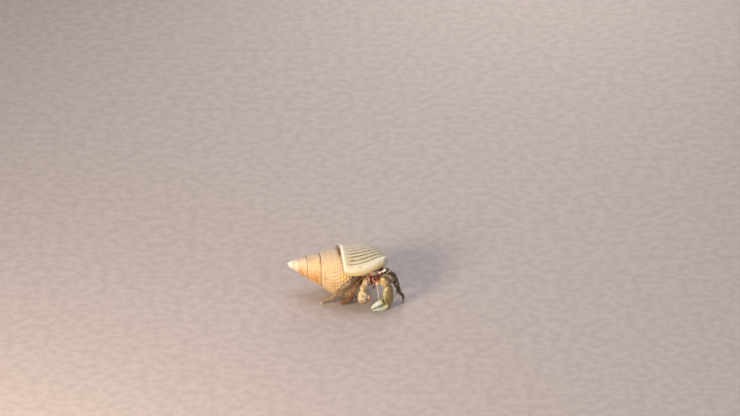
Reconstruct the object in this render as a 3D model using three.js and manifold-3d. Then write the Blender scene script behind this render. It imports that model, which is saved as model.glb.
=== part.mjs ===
// A small hermit crab in the shell of a sea snail, life size, in millimetres with +Z up.
// It stands on its legs and claws, and the shell's last turn rests on the floor behind them.
import * as THREE from 'three';
import { mergeVertices } from 'three/addons/utils/BufferGeometryUtils.js';
import Module from 'manifold-3d';

const wasm = await Module();
wasm.setup();

// ---- Driving dimensions

const gap = 0.09; // between pieces that touch in life
const modelCentre = new THREE.Vector3(0.53, 7.77, 0); // middle of the floor under the crab

// The shell is a spiral that grows by one factor each turn about a straight axis.
const shellApex = new THREE.Vector3(-15.96, 10.19, 9.46); // where the spiral would shrink to a point
const shellAxis = new THREE.Vector3(0.988, -0.007, -0.152).normalize();
const growthPerTurn = 1.555;
const lipSuture = 15.6; // from the apex to the top of the opening, along the axis
const whorlHeight = 12.2; // from there to the front end of the shell
const crestRadius = 6.97;
const lipThickening = 0.32;
const lipBandAngle = 17; // width of the thick band along the lip, in degrees of growth
const oldWhorlSwell = 0.36; // how much straighter the sides of the older turns run out
const ribHeight = 0.2; // of the ribs that cross each turn, at the lip's scale
const ribSpacing = 9.5; // degrees of growth from rib to rib
const lipRibSpacing = 7.3; // the last ribs crowd together
const ribbed = [[17, 75], [258, 415]]; // degrees of growth over which the solid carries its ribs
const crestFlare = 0.45; // by which the newest crest stands out and back over the turn before it
const columellaRadius = 1.75;
const lipEdgeInset = 0.1; // by which the lip's very edge turns in
const lipDegreesPerMm = 8; // of turn, at the lip's radius
const spireTurns = 1900; // degrees of growth back from the lip to the tip of the spire

// The crab's own frame: forward, to its left, and up through its back.
const headPoint = new THREE.Vector3(8.2, 3.8, 9.0);
const forward = new THREE.Vector3(0.66, -0.63, -0.41).normalize();
const leftward = new THREE.Vector3(0.69, 0.72, 0).normalize();
const dorsal = new THREE.Vector3().crossVectors(forward, leftward).normalize();

// ---- Closed shapes

const radians = THREE.MathUtils.degToRad;
const smooth = THREE.MathUtils.smoothstep;

// A closed mesh from points and triangles, as a solid that can be joined and cut.
function solidOf(positions, triangles) {
  return new wasm.Manifold(new wasm.Mesh({
    numProp: 3,
    vertProperties: new Float32Array(positions),
    triVerts: new Uint32Array(triangles),
  }));
}

// A solid whose skin runs through like-numbered points of each ring, with flat ends.
// caps: the triangles that close one ring, when a fan about its middle wouldn't lie inside it.
function loft(rings, caps) {
  const count = rings[0].length;
  const positions = rings.flat().flatMap((p) => [p.x, p.y, p.z]);
  const triangles = [];
  for (let i = 0; i + 1 < rings.length; i++) {
    for (let j = 0; j < count; j++) {
      const a = i * count + j;
      const b = i * count + ((j + 1) % count);
      triangles.push(a, b, b + count, a, b + count, a + count);
    }
  }
  const last = (rings.length - 1) * count;
  if (caps) {
    for (const [a, b, c] of caps) triangles.push(c, b, a, last + a, last + b, last + c);
  } else {
    for (const [start, turned] of [[0, true], [last, false]]) {
      const middle = new THREE.Vector3();
      for (let j = 0; j < count; j++) middle.add(rings[start / count][j]);
      middle.divideScalar(count);
      const centre = positions.length / 3;
      positions.push(middle.x, middle.y, middle.z);
      for (let j = 0; j < count; j++) {
        const [a, b] = [start + j, start + ((j + 1) % count)];
        triangles.push(...(turned ? [centre, b, a] : [centre, a, b]));
      }
    }
  }
  const made = solidOf(positions, triangles);
  return made.volume() < 0 ? solidOf(positions, turnOver(triangles)) : made;
}

function turnOver(triangles) {
  const turned = [];
  for (let i = 0; i < triangles.length; i += 3) {
    turned.push(triangles[i], triangles[i + 2], triangles[i + 1]);
  }
  return turned;
}

// A rod of oval section along a curve through points.
// sizes: how far along, half its width across and half its depth towards up, from 0 to 1 along the curve.
function rod({ points, sizes, up, sides = 8 }, grow = 0) {
  const curve = new THREE.CatmullRomCurve3(points.map((p) => new THREE.Vector3(...p)));
  const long = curve.getLength();
  const rings = sizes.map(([along, wide, deep], i) => {
    const end = i === 0 ? -grow / long : i === sizes.length - 1 ? grow / long : 0;
    const tangent = curve.getTangentAt(THREE.MathUtils.clamp(along, 0, 1));
    const centre = curve.getPointAt(THREE.MathUtils.clamp(along, 0, 1)).addScaledVector(tangent, end * long);
    const across = new THREE.Vector3().crossVectors(tangent, up).normalize();
    const top = new THREE.Vector3().crossVectors(across, tangent);
    const ring = [];
    for (let j = 0; j < sides; j++) {
      const turn = (2 * Math.PI * (j + 0.5)) / sides;
      ring.push(centre.clone()
        .addScaledVector(across, (wide + grow) * Math.cos(turn))
        .addScaledVector(top, (deep + grow) * Math.sin(turn)));
    }
    return ring;
  });
  return loft(rings);
}

function largestOf(solid) {
  const bodies = solid.decompose();
  return bodies.reduce((best, body) => (body.volume() > best.volume() ? body : best));
}

// ---- The shell

const towardsFront = new THREE.Vector3(0, -Math.cos(radians(30)), Math.sin(radians(30)));
const radialFront = towardsFront.clone().addScaledVector(shellAxis, -towardsFront.dot(shellAxis)).normalize();
const radialTop = new THREE.Vector3().crossVectors(radialFront, shellAxis).normalize();

// A point at a distance along the axis, out from it, and at an angle about it.
function about(along, out, angle) {
  return shellApex.clone().addScaledVector(shellAxis, along)
    .addScaledVector(radialFront, out * Math.cos(radians(angle)))
    .addScaledVector(radialTop, out * Math.sin(radians(angle)));
}

// The outline of the last turn at the lip, from its crest to the front end: height, then radius.
const whorlOutline = new THREE.SplineCurve([
  [0.03, 7.2], [0.09, 7.72], [0.2, 8.24], [0.4, 8.67], [0.6, 8.55],
  [0.76, 8.05], [0.9, 7.1], [0.975, 5.4], [1.0, 4.0],
].map(([height, out]) => new THREE.Vector2(height, out)));

const outlineSteps = 7;
const turnScale = (growth) => growthPerTurn ** (-growth / 360);

// The growth lines lean back towards the front end of the shell.
function lean(height) {
  return -5 + (height > 0.1 ? 37 * ((height - 0.1) / 0.8) ** 2 : 0);
}

// Ribs passed between the lip and an angle of growth, and the angle at which a rib lies.
const crowding = 120 * (1 / lipRibSpacing - 1 / ribSpacing);
const ribsBefore = (growth) => growth / ribSpacing + crowding * (1 - Math.exp(-growth / 120));

function ribGrowth(count) {
  let growth = count * ribSpacing;
  for (let i = 0; i < 20; i++) growth = ribSpacing * (count - crowding * (1 - Math.exp(-growth / 120)));
  return growth;
}

// Ribs are strong near the lip and on the turn before it, and worn away on the back of the last turn.
function ribStrength(growth) {
  const nearLip = 0.85 * smooth(growth, 11, 20) * (1 - smooth(growth, 50, ribbed[0][1]));
  const olderTurn = smooth(growth, ribbed[1][0], 290) * (1 - smooth(growth, 395, ribbed[1][1]));
  return nearLip + olderTurn;
}

function ribRelief(height, growth) {
  const lasts = smooth(height, 0.02, 0.1) * (1 - smooth(height, 0.88, 0.98));
  return (ribHeight / 2) * lasts * ribStrength(growth) * Math.cos(2 * Math.PI * ribsBefore(growth));
}

function crestLift(height, growth) {
  const reach = smooth(growth, 8, 45) * (1 - smooth(growth, 95, 150));
  return crestFlare * reach * (1 - smooth(height, 0.01, 0.12));
}

// One section of the whole turn at an angle of growth before the lip, closed near the axis.
function whorlSection(growth, grow = 0) {
  const scale = turnScale(growth);
  const age = smooth(growth, 60, 330);
  const bulge = lipThickening * Math.sin(Math.PI * Math.min(growth / lipBandAngle, 1));
  const band = growth < 1 ? bulge - lipEdgeInset : bulge;
  const lift = crestLift(0, growth);
  const crestAt = scale * (lipSuture - lift) - grow;
  const ring = [about(crestAt, scale * (crestRadius + lift) + grow, growth + lean(0))];
  for (const { x: height, y: out } of whorlOutline.getPoints(outlineSteps)) {
    const swell = 1 + age * oldWhorlSwell * (Math.max(height, 0.15) - 0.27);
    const flare = crestLift(height, growth);
    const radius = scale * (out * swell + band + flare + ribRelief(height, growth)) + grow;
    ring.push(about(scale * (lipSuture - flare + whorlHeight * height), radius, growth + lean(height)));
  }
  const frontEnd = scale * (lipSuture + whorlHeight) + grow;
  ring.push(about(frontEnd - 0.3 * scale, scale * 2.4 + grow, growth + lean(1)));
  ring.push(about(frontEnd - 1.6 * scale, scale * 0.8, growth + lean(0.9)));
  ring.push(about(scale * (lipSuture + 0.7), scale * 0.8, growth));
  ring.push(about(scale * (lipSuture + 0.35), scale * 4.6, growth));
  return ring;
}

// The room inside a turn: along the axis, then out from it, at the lip's scale.
const roomOutline = new THREE.CatmullRomCurve3([
  [16.5, 7.1], [18.3, 7.75], [21, 7.7], [23.4, 7.3], [25.4, 6.5], [26.6, 5], [26.7, 3.1],
  [25, 2.2], [22, 2.25], [19.6, 3.1], [18.2, 5.2],
].map(([along, out]) => new THREE.Vector3(along, out, 0)), true);
const roomMiddle = [21.8, 4.9];
const roomTurn = 4; // the room's angle is set on by this, so that the lip stays thick
const innerRooms = [245, 485]; // degrees of growth where each length of the room inside the spire begins

function roomSection(growth, grow = 0, corners = 12) {
  const scale = turnScale(growth);
  const closing = 1 - 0.2 * smooth(growth, 60, 260);
  return roomOutline.getPoints(corners).slice(0, corners).map(({ x, y }) => {
    const from = new THREE.Vector2(x - roomMiddle[0], y - roomMiddle[1]).multiplyScalar(closing);
    const wall = from.clone().setLength(grow / scale);
    const [along, out] = [roomMiddle[0] + from.x + wall.x, roomMiddle[1] + from.y + wall.y];
    return about(scale * along, scale * out, growth + roomTurn);
  });
}

// The triangles that close a ring of points, found in its own along and out plane and turned as it runs.
function capOf(ring) {
  const flat = ring.map((p) => {
    const from = p.clone().sub(shellApex);
    const along = from.dot(shellAxis);
    return new THREE.Vector2(along, from.addScaledVector(shellAxis, -along).length());
  });
  const cap = THREE.ShapeUtils.triangulateShape(flat, []);
  const turned = (points) => THREE.ShapeUtils.area(points) > 0;
  return turned(cap[0].map((i) => flat[i])) === turned(flat) ? cap : cap.map(([a, b, c]) => [a, c, b]);
}

// Grown and ungrown sweeps share their caps, so that one always lies inside the other.
function sweep(section, grow, growths) {
  return loft(growths.map((growth) => section(growth, grow)), capOf(section(growths[0], 0)));
}

function evenSteps(from, to, step) {
  const count = Math.round((to - from) / step);
  return Array.from({ length: count + 1 }, (_, i) => from + ((to - from) * i) / count);
}

// Where the solid has ribs its sections lie on each rib and in each groove, and elsewhere a step apart.
function ribSteps(from, to, step) {
  const made = [from];
  for (let here = from; to - here > 0.5; made.push(here)) {
    const ribs = ribbed.find(([start, end]) => here >= start - 0.5 && end - here > 0.5);
    const ahead = ribbed.map(([start]) => start).filter((start) => start - here > 0.5);
    const next = ribs ? ribGrowth(Math.floor(2 * ribsBefore(here) + 1.2) / 2) : here + step;
    here = Math.min(next, to, ribs ? ribs[1] : Math.min(...ahead, to));
  }
  return made;
}

// The pillar in the middle of the shell, with the blunt tip of the spire.
function columella(grow) {
  const outline = [
    [1.3, 0.02], [1.42, 0.36], [1.75, 0.62], [2.3, 0.78], [3.2, 0.6], [8, 0.8], [16, columellaRadius],
    [22, columellaRadius], [24.5, 1.2], [26.3, 0.7], [26.9, 0.35],
  ];
  return loft(outline.map(([along, out]) => {
    const ring = [];
    for (let j = 0; j < 10; j++) ring.push(about(along, out + grow, 36 * j));
    return ring;
  }));
}

// The notch in the front end of the lip, where the snail's breathing tube lay.
const notch = {
  points: [about(28.3, 1, 30).toArray(), about(28.3, 12, 30).toArray()],
  sizes: [[0, 2.2, 2.2], [1, 3.4, 2.9]],
  up: shellAxis,
};

function makeShell(grow = 0) {
  const turn = (from, to, step) => sweep(whorlSection, grow, ribSteps(from, to, step));
  const room = sweep(roomSection, -grow, evenSteps(-75, 249, 20.25));
  const innerRoom = (growth) => roomSection(growth, 0, 9);
  const lip = turn(-grow * lipDegreesPerMm, lipBandAngle, lipBandAngle / 4);
  const lastTurn = lip.add(turn(lipBandAngle, 287, 17));
  let spire = turn(287, 557, 24).add(turn(557, 827, 30));
  for (let growth = 827; growth < spireTurns; growth += 288) {
    spire = spire.add(turn(growth, growth + 288, 41.2));
  }
  let made = lastTurn.subtract(room).add(spire);
  for (const growth of innerRooms) {
    made = made.subtract(sweep(innerRoom, 0, evenSteps(growth, growth + 244, 30.5)));
  }
  return largestOf(made.subtract(rod(notch, -grow)).add(columella(grow)));
}

// ---- The crab

// A place in the crab's frame: forward of the head, out to one side (1 left, -1 right), and up.
function body(ahead, out, above, side = 1) {
  return headPoint.clone().addScaledVector(forward, ahead)
    .addScaledVector(leftward, side * out).addScaledVector(dorsal, above).toArray();
}

const upward = new THREE.Vector3(0, 0, 1);

// Jointed limbs. Each segment runs from one joint to the next, with its half width and half depth
// near the body and near its far joint, and how far its back arches.
const claws = {
  left: {
    up: new THREE.Vector3(0.45, 0.1, 0.9),
    base: { from: [7.6, 4.9, 7.6], to: [8.6, 4.2, 7.1], near: [0.7, 0.65], far: [0.75, 0.7], sides: 6 },
    merus: { from: [8.5, 4.2, 7.1], to: [10.3, 2.8, 8.4], near: [0.75, 0.8], far: [1.0, 1.2], arch: 0.1 },
    carpus: { from: [9.7, 2.8, 8.7], to: [12, 1.2, 8], near: [1.15, 1.6], far: [1.35, 1.75], arch: 0.45 },
  },
  right: {
    up: new THREE.Vector3(-0.15, -0.8, 0.5),
    base: { from: [7.1, 5.0, 7.9], to: [6.8, 3.7, 6.5], near: [0.6, 0.6], far: [0.55, 0.6], sides: 6 },
    merus: { from: [6.8, 3.8, 6.5], to: [5.9, 2.5, 9.1], near: [0.5, 0.6], far: [0.7, 0.8], arch: 0.2 },
    carpus: { from: [5.9, 2.3, 9.2], to: [4.95, 1.6, 6.1], near: [0.75, 0.75], far: [0.95, 0.95], arch: 0.3 },
  },
};

const hands = {
  left: {
    palm: {
      points: [[11.6, 1.35, 7.6], [11.4, 1.95, 5.2], [11.35, 2.75, 2.2], [10.2, 2.2, 0.8], [7.5, 1.0, 0.55]],
      sizes: [
        [0, 0.7, 0.8], [0.06, 1.05, 1.2], [0.22, 1.3, 1.5], [0.42, 1.35, 1.65], [0.56, 1.15, 1.5],
        [0.7, 0.8, 0.95], [0.86, 0.6, 0.62], [1, 0.32, 0.32],
      ],
      up: new THREE.Vector3(0.3, 0.7, 0.6),
    },
    finger: {
      points: [[10.3, 1.15, 3.2], [9.0, 0.65, 2.75], [7.9, 0.6, 1.95], [7.0, 0.7, 1.15]],
      sizes: [[0, 0.45, 0.5], [0.12, 0.72, 0.75], [0.5, 0.66, 0.66], [0.85, 0.45, 0.45], [1, 0.26, 0.26]],
      up: upward,
    },
  },
  right: {
    palm: {
      points: [[4.95, 1.65, 6.3], [4.85, 1.6, 4.8], [4.75, 1.8, 3.2], [5.2, 2.3, 2.1], [5.9, 2.9, 1.7]],
      sizes: [
        [0, 0.55, 0.55], [0.1, 0.95, 0.8], [0.32, 1.2, 0.95],
        [0.56, 1.1, 0.85], [0.82, 0.5, 0.45], [1, 0.26, 0.26],
      ],
      up: new THREE.Vector3(0, -1, 0.1),
    },
    finger: {
      points: [[5.9, 1.8, 4.5], [6.5, 2.0, 3.6], [6.5, 2.5, 2.7], [6.2, 3.0, 2.2]],
      sizes: [[0, 0.35, 0.35], [0.15, 0.5, 0.5], [0.6, 0.42, 0.4], [1, 0.25, 0.25]],
      up: new THREE.Vector3(0.1, -1, 0.1),
    },
  },
};

const walkingLegs = {
  right_leg_2: {
    up: new THREE.Vector3(-0.3, -0.7, 0.6),
    joints: [
      [5.8, 5.0, 8.3], [5.2, 4.1, 7.7], [3.3, 1.9, 7.5],
      [2.5, 1.4, 5.6], [1.6, 2.5, 3.0], [-0.7, 5.0, 0.1],
    ],
  },
  right_leg_3: {
    up: new THREE.Vector3(-0.5, -0.6, 0.6),
    joints: [
      [5.0, 5.6, 8.7], [4.3, 4.8, 8.3], [1.2, 1.75, 8.05],
      [-0.3, 1.8, 6.75], [-2.5, 2.9, 3.55], [-6.0, 5.3, 0.1],
    ],
  },
  left_leg_2: {
    up: new THREE.Vector3(0.7, -0.3, 0.6),
    joints: [
      [7.9, 5.6, 8.0], [8.9, 5.5, 7.6], [12.2, 4.6, 8.3],
      [13.4, 4.2, 6.7], [14.4, 4.8, 3.6], [15.5, 6.7, 0.1],
    ],
  },
  left_leg_3: {
    up: new THREE.Vector3(0.7, 0.3, 0.6),
    joints: [
      [7.3, 6.4, 8.4], [8.4, 6.7, 7.9], [11.7, 7.7, 8.1],
      [13.0, 8.5, 6.4], [13.8, 10.0, 3.4], [13.8, 12.9, 0.1],
    ],
  },
};

// Half width, half depth near and far, and the arch, for each segment from the body outwards.
const legSegments = [
  { name: 'base', near: [0.5, 0.5], far: [0.5, 0.5], sides: 5 },
  { name: 'merus', near: [0.5, 0.55], far: [0.6, 0.75], arch: 0.22, sides: 6 },
  { name: 'carpus', near: [0.5, 0.5], far: [0.62, 0.7], arch: 0.15, sides: 6 },
  { name: 'propodus', near: [0.58, 0.66], far: [0.48, 0.52], arch: 0.18, sides: 6 },
  { name: 'dactylus', near: [0.42, 0.45], far: [0.25, 0.25], arch: 0.5, sides: 6 },
];

function segment({ from, to, near, far, arch = 0, up, tapered, sides }) {
  const middle = from.map((value, i) => (value + to[i]) / 2 + arch * up.getComponent(i));
  const sizes = [
    [0, 0.6 * near[0], 0.6 * near[1]],
    [0.12, near[0], near[1]],
    [0.5, (near[0] + far[0]) * 0.52, (near[1] + far[1]) * 0.52],
    [0.88, far[0], far[1]],
    [1, far[0] * (tapered ? 1 : 0.6), far[1] * (tapered ? 1 : 0.6)],
  ];
  return { points: [from, middle, to], sizes, up, sides };
}

const pieces = []; // name, shape by growth, material, in the order in which each is cut by those before it
const add = (name, make, finish) => pieces.push({ name, make, finish });
const addRod = (name, shape, finish) => add(name, (grow) => rod(shape, grow), finish);

const finishes = {
  shell: { color: 0xe6c48e, roughness: 0.55, metalness: 0 },
  shield: { color: 0x8a7a4f, roughness: 0.4, metalness: 0 },
  flesh: { color: 0xc98a63, roughness: 0.5, metalness: 0 },
  abdomen: { color: 0xd9a27e, roughness: 0.5, metalness: 0 },
  cornea: { color: 0x1c1a1d, roughness: 0.1, metalness: 0 },
  stalk: { color: 0xe9c4b4, roughness: 0.4, metalness: 0 },
  leg: { color: 0x9a8355, roughness: 0.45, metalness: 0 },
  claw: { color: 0xb9b070, roughness: 0.4, metalness: 0 },
  finger: { color: 0xd6dcc4, roughness: 0.35, metalness: 0 },
  mouth: { color: 0xa03a2a, roughness: 0.4, metalness: 0 },
};

add('shell', makeShell, 'shell');

for (const [side, sign] of [['left', 1], ['right', -1]]) {
  addRod(`${side}_cornea`, {
    points: [body(0.8, 2.0, 2.25, sign), body(1.1, 2.65, 2.95, sign)],
    sizes: [[0, 0.3, 0.3], [0.3, 0.42, 0.42], [0.7, 0.42, 0.42], [1, 0.22, 0.22]],
    up: dorsal,
  }, 'cornea');
  addRod(`${side}_eyestalk`, {
    points: [body(-0.1, 0.38, 0.7, sign), body(0.4, 1.2, 1.45, sign), body(0.85, 2.1, 2.35, sign)],
    sizes: [[0, 0.3, 0.3], [0.12, 0.4, 0.38], [0.5, 0.3, 0.3], [0.85, 0.34, 0.34], [1, 0.26, 0.26]],
    up: dorsal,
  }, 'stalk');
  addRod(`${side}_antennule`, {
    points: [body(0.3, 0.3, 0.1, sign), body(1.3, 0.5, -0.1, sign), body(2.0, 0.6, 0.9, sign)],
    sizes: [[0, 0.3, 0.3], [0.5, 0.27, 0.27], [0.9, 0.25, 0.25], [1, 0.2, 0.2]],
    up: leftward, sides: 6,
  }, 'stalk');
  addRod(`${side}_maxilliped`, {
    points: [body(-0.4, 0.55, -1.1, sign), body(0.9, 0.75, -1.5, sign), body(1.1, 0.5, -3.6, sign)],
    sizes: [[0, 0.3, 0.35], [0.15, 0.42, 0.5], [0.5, 0.36, 0.42], [0.9, 0.28, 0.32], [1, 0.2, 0.22]],
    up: leftward, sides: 6,
  }, 'mouth');
}

const flagella = {
  left: [[10.35, 3.75, 9.1], [11.9, 3.6, 11.0], [13.1, 3.9, 12.8], [13.5, 4.9, 14.6]],
  right: [body(1.5, 1.35, 0.1, -1), [8.75, 1.1, 6.6], [8.95, 0.3, 5.2], [9.2, -1.8, 4.3]],
};
for (const [side, sign] of [['left', 1], ['right', -1]]) {
  addRod(`${side}_antenna_flagellum`, {
    points: flagella[side],
    sizes: [0, 0.16, 0.32, 0.48, 0.64, 0.82, 1].map((along) => [along, 0.25, 0.25]),
    up: dorsal, sides: 6,
  }, 'stalk');
  addRod(`${side}_antenna_peduncle`, {
    points: [body(0, 1.1, -0.1, sign), body(0.8, 1.4, -0.1, sign), body(1.7, 1.4, 0.15, sign)],
    sizes: [[0, 0.3, 0.3], [0.15, 0.42, 0.4], [0.55, 0.38, 0.36], [0.9, 0.33, 0.33], [1, 0.26, 0.26]],
    up: dorsal, sides: 6,
  }, 'leg');
}

for (const side of ['left', 'right']) {
  addRod(`${side}_claw_finger`, hands[side].finger, 'finger');
  addRod(`${side}_claw_palm`, hands[side].palm, 'claw');
  for (const part of ['carpus', 'merus', 'base']) {
    addRod(`${side}_claw_${part}`, segment({ ...claws[side][part], up: claws[side].up }), 'claw');
  }
}

for (const [name, { up, joints }] of Object.entries(walkingLegs)) {
  for (let i = legSegments.length - 1; i >= 0; i--) {
    const { name: part, ...sizes } = legSegments[i];
    const tapered = part === 'dactylus';
    addRod(`${name}_${part}`, segment({ ...sizes, from: joints[i], to: joints[i + 1], up, tapered }), 'leg');
  }
}

addRod('shield', {
  points: [body(0.15, 0, 0.75), body(-1.4, 0, 1.15), body(-3.4, 0, 1.0)],
  sizes: [[0, 0.9, 0.3], [0.1, 1.35, 0.5], [0.5, 1.7, 0.62], [0.85, 1.5, 0.55], [1, 1.0, 0.35]],
  up: dorsal,
}, 'shield');
addRod('thorax', {
  points: [body(0.5, 0, -0.1), body(-1.4, 0, 0), body(-3.6, 0, 0.3)],
  sizes: [[0, 0.8, 0.6], [0.12, 1.35, 1.1], [0.5, 1.75, 1.35], [0.85, 1.7, 1.4], [1, 1.2, 1.0]],
  up: dorsal,
}, 'flesh');

// The two hind pairs of legs are short, and brace the crab against the inside of the shell.
for (const [side, sign] of [['left', 1], ['right', -1]]) {
  addRod(`${side}_leg_4`, {
    points: [body(-2.9, 1.3, -0.6, sign), body(-2.6, 1.9, -0.8, sign), body(-2.1, 2.2, -1.1, sign)],
    sizes: [[0, 0.3, 0.35], [0.3, 0.38, 0.45], [0.8, 0.34, 0.4], [1, 0.22, 0.25]],
    up: dorsal, sides: 6,
  }, 'leg');
  addRod(`${side}_leg_5`, {
    points: [body(-3.5, 1.3, 0.2, sign), body(-3.9, 1.9, 0.5, sign), body(-3.4, 2.3, 0.9, sign)],
    sizes: [[0, 0.26, 0.26], [0.5, 0.28, 0.28], [1, 0.2, 0.2]],
    up: dorsal, sides: 6,
  }, 'leg');
}

// The soft abdomen follows the room inside the shell, back from the thorax.
const abdomenStart = 40; // degrees of growth behind the lip
const abdomenMiddle = [21.4, 5.0]; // along the shell's axis and out from it, at the lip's scale
const abdomenTurn = 6;

function insideShell(growth) {
  const scale = turnScale(growth);
  return about(scale * abdomenMiddle[0], scale * abdomenMiddle[1], growth + abdomenTurn).toArray();
}

addRod('abdomen_front', {
  points: [0, 30, 60, 90].map((growth) => insideShell(abdomenStart + growth)),
  sizes: [[0, 1.5, 1.5], [0.1, 1.95, 2.1], [0.4, 2.1, 2.4], [0.8, 1.9, 2.1], [1, 1.3, 1.5]],
  up: shellAxis,
}, 'abdomen');
addRod('abdomen_rear', {
  points: [92, 120, 150, 180].map((growth) => insideShell(abdomenStart + growth)),
  sizes: [[0, 1.1, 1.3], [0.15, 1.5, 1.7], [0.5, 1.3, 1.4], [0.9, 0.8, 0.8], [1, 0.5, 0.5]],
  up: shellAxis,
}, 'abdomen');
addRod('tail_fan', {
  points: [182, 190, 200].map((growth) => insideShell(abdomenStart + growth)),
  sizes: [[0, 0.45, 0.5], [0.4, 0.8, 0.9], [0.8, 0.75, 0.8], [1, 0.4, 0.5]],
  up: shellAxis, sides: 6,
}, 'leg');

// ---- Cut each piece clear of those before it, and flat where it meets the floor

const floor = solidOfGeometry(new THREE.BoxGeometry(80, 80, 10).translate(0, 0, -5));

function solidOfGeometry(geometry) {
  geometry.deleteAttribute('normal');
  geometry.deleteAttribute('uv');
  const merged = mergeVertices(geometry);
  return solidOf(merged.attributes.position.array, merged.index.array);
}

function overlaps(a, b) {
  return [0, 1, 2].every((i) => a.min[i] < b.max[i] && b.min[i] < a.max[i]);
}

function meshOf(solid, name, finish) {
  const { vertProperties, triVerts, numProp } = solid.getMesh();
  const position = [];
  for (let i = 0; i < vertProperties.length; i += numProp) position.push(...vertProperties.slice(i, i + 3));
  const geometry = new THREE.BufferGeometry();
  geometry.setAttribute('position', new THREE.Float32BufferAttribute(position, 3));
  geometry.setIndex(Array.from(triVerts));
  geometry.computeVertexNormals();
  const mesh = new THREE.Mesh(geometry, new THREE.MeshStandardMaterial(finish));
  mesh.name = name;
  return mesh;
}

const hermitCrab = new THREE.Group();
hermitCrab.position.copy(modelCentre).negate();
const grownPieces = [];
for (const { name, make, finish } of pieces) {
  let solid = make(0).subtract(floor);
  for (const grown of grownPieces) {
    if (overlaps(solid.boundingBox(), grown.boundingBox())) solid = solid.subtract(grown);
  }
  grownPieces.push(make(gap));
  hermitCrab.add(meshOf(largestOf(solid), name, finishes[finish]));
}

export default hermitCrab;
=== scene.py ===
import math

import bpy
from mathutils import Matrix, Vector, noise


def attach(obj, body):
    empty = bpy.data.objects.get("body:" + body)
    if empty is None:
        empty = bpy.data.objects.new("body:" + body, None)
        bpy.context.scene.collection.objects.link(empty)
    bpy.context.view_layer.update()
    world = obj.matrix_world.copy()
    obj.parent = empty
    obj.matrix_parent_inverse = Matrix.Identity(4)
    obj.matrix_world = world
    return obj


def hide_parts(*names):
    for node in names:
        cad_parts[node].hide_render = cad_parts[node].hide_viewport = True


# A small hermit crab in a sea snail's shell. Lengths in the settings are in millimetres, angles in
# degrees, and both crab and shell are drawn in one frame whose origin is moved to the model's centre.
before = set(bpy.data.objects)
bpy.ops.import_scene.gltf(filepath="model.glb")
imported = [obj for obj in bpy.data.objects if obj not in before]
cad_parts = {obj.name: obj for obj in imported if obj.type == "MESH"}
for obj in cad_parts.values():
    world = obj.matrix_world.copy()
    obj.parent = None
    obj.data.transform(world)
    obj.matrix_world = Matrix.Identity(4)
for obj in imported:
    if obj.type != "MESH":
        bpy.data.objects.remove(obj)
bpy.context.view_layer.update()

mm = 0.001
modelCentre = Vector((0.53, 7.77, 0.0))


def toModel(point):
    return (Vector(point) - modelCentre) * mm


def mix(a, b, t):
    return a + (b - a) * t


def clamp(value):
    return min(max(value, 0.0), 1.0)


def ease(value, low, high):
    t = clamp((value - low) / (high - low))
    return t * t * (3 - 2 * t)


def colour(code):  # "#rrggbb" as linear values
    parts = [int(code[i:i + 2], 16) / 255 for i in (1, 3, 5)]
    return tuple(p / 12.92 if p < 0.04045 else ((p + 0.055) / 1.055) ** 2.4 for p in parts) + (1.0,)


class Wire:  # a node's output that can be written in sums and products
    def __init__(self, tree, socket):
        self.tree, self.socket = tree, socket

    def also(self, label):  # another output of the same node
        return Wire(self.tree, self.socket.node.outputs[label])

    def to(self, slot):
        self.tree.links.new(self.socket, slot)

    def math(self, operation, *others):
        return calculate(self.tree, operation, self, *others)

    def between(self, low, high, smooth=True):  # 0 below low, 1 above high
        return put(self.tree, "ShaderNodeMapRange", {"Value": self, "From Min": low, "From Max": high},
                   interpolation_type="SMOOTHSTEP" if smooth else "LINEAR")

    def __add__(self, other):
        return self.math("ADD", other)

    def __sub__(self, other):
        return self.math("SUBTRACT", other)

    def __rsub__(self, other):
        return calculate(self.tree, "SUBTRACT", other, self)

    def __mul__(self, other):
        return self.math("MULTIPLY", other)

    def __truediv__(self, other):
        return self.math("DIVIDE", other)

    def __rtruediv__(self, other):
        return calculate(self.tree, "DIVIDE", other, self)

    __radd__, __rmul__ = __add__, __mul__


def feed(value, slot):
    if isinstance(value, Wire):
        value.to(slot)
    else:
        slot.default_value = value


def put(tree, kind, inputs=None, output=0, **settings):
    node = tree.nodes.new(kind)
    for name, value in settings.items():
        setattr(node, name, value)
    for key, value in (inputs or {}).items():
        feed(value, node.inputs[key])
    return Wire(tree, node.outputs[output])


def calculate(tree, operation, *values):
    return put(tree, "ShaderNodeMath", dict(enumerate(values)), operation=operation)


def mixed(a, b, factor):
    return a * (1.0 - factor) + b * factor


def scaled(vector, amount):
    return put(vector.tree, "ShaderNodeVectorMath", {0: vector, "Scale": amount}, operation="SCALE")


def added(a, b):
    return put(a.tree, "ShaderNodeVectorMath", {0: a, 1: b}, operation="ADD")


def noiseOf(place, scale, detail, roughness=0.5, distortion=0.0):
    return put(place.tree, "ShaderNodeTexNoise", {"Vector": place, "Scale": scale, "Detail": detail,
                                                  "Roughness": roughness, "Distortion": distortion})


def profile(value, points, high):
    # a drawn curve from 0 to 1 across; points are (place, value, sharp) and values run from 0 to high
    made = put(value.tree, "ShaderNodeFloatCurve", {"Value": value})
    mapping = made.socket.node.mapping
    curve = mapping.curves[0]
    while len(curve.points) < len(points):
        curve.points.new(0.5, 0.5)
    for spot, (place, height, *sharp) in zip(curve.points, points):
        spot.location = (place, height / high)
        spot.handle_type = "VECTOR" if sharp else "AUTO"
    mapping.update()
    return made * high


def treeOf(name, kind, inputs, outputs):  # labels of inputs and outputs under their kind of socket
    tree = bpy.data.node_groups.new(name, kind)
    for direction, sockets in (("INPUT", inputs), ("OUTPUT", outputs)):
        for form, labels in sockets.items():
            for label in labels:
                tree.interface.new_socket(name=label, in_out=direction, socket_type="NodeSocket" + form)
    source = tree.nodes.new("NodeGroupInput")
    given = {label: Wire(tree, source.outputs[label]) for labels in inputs.values() for label in labels}
    return tree, given, tree.nodes.new("NodeGroupOutput")


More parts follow.
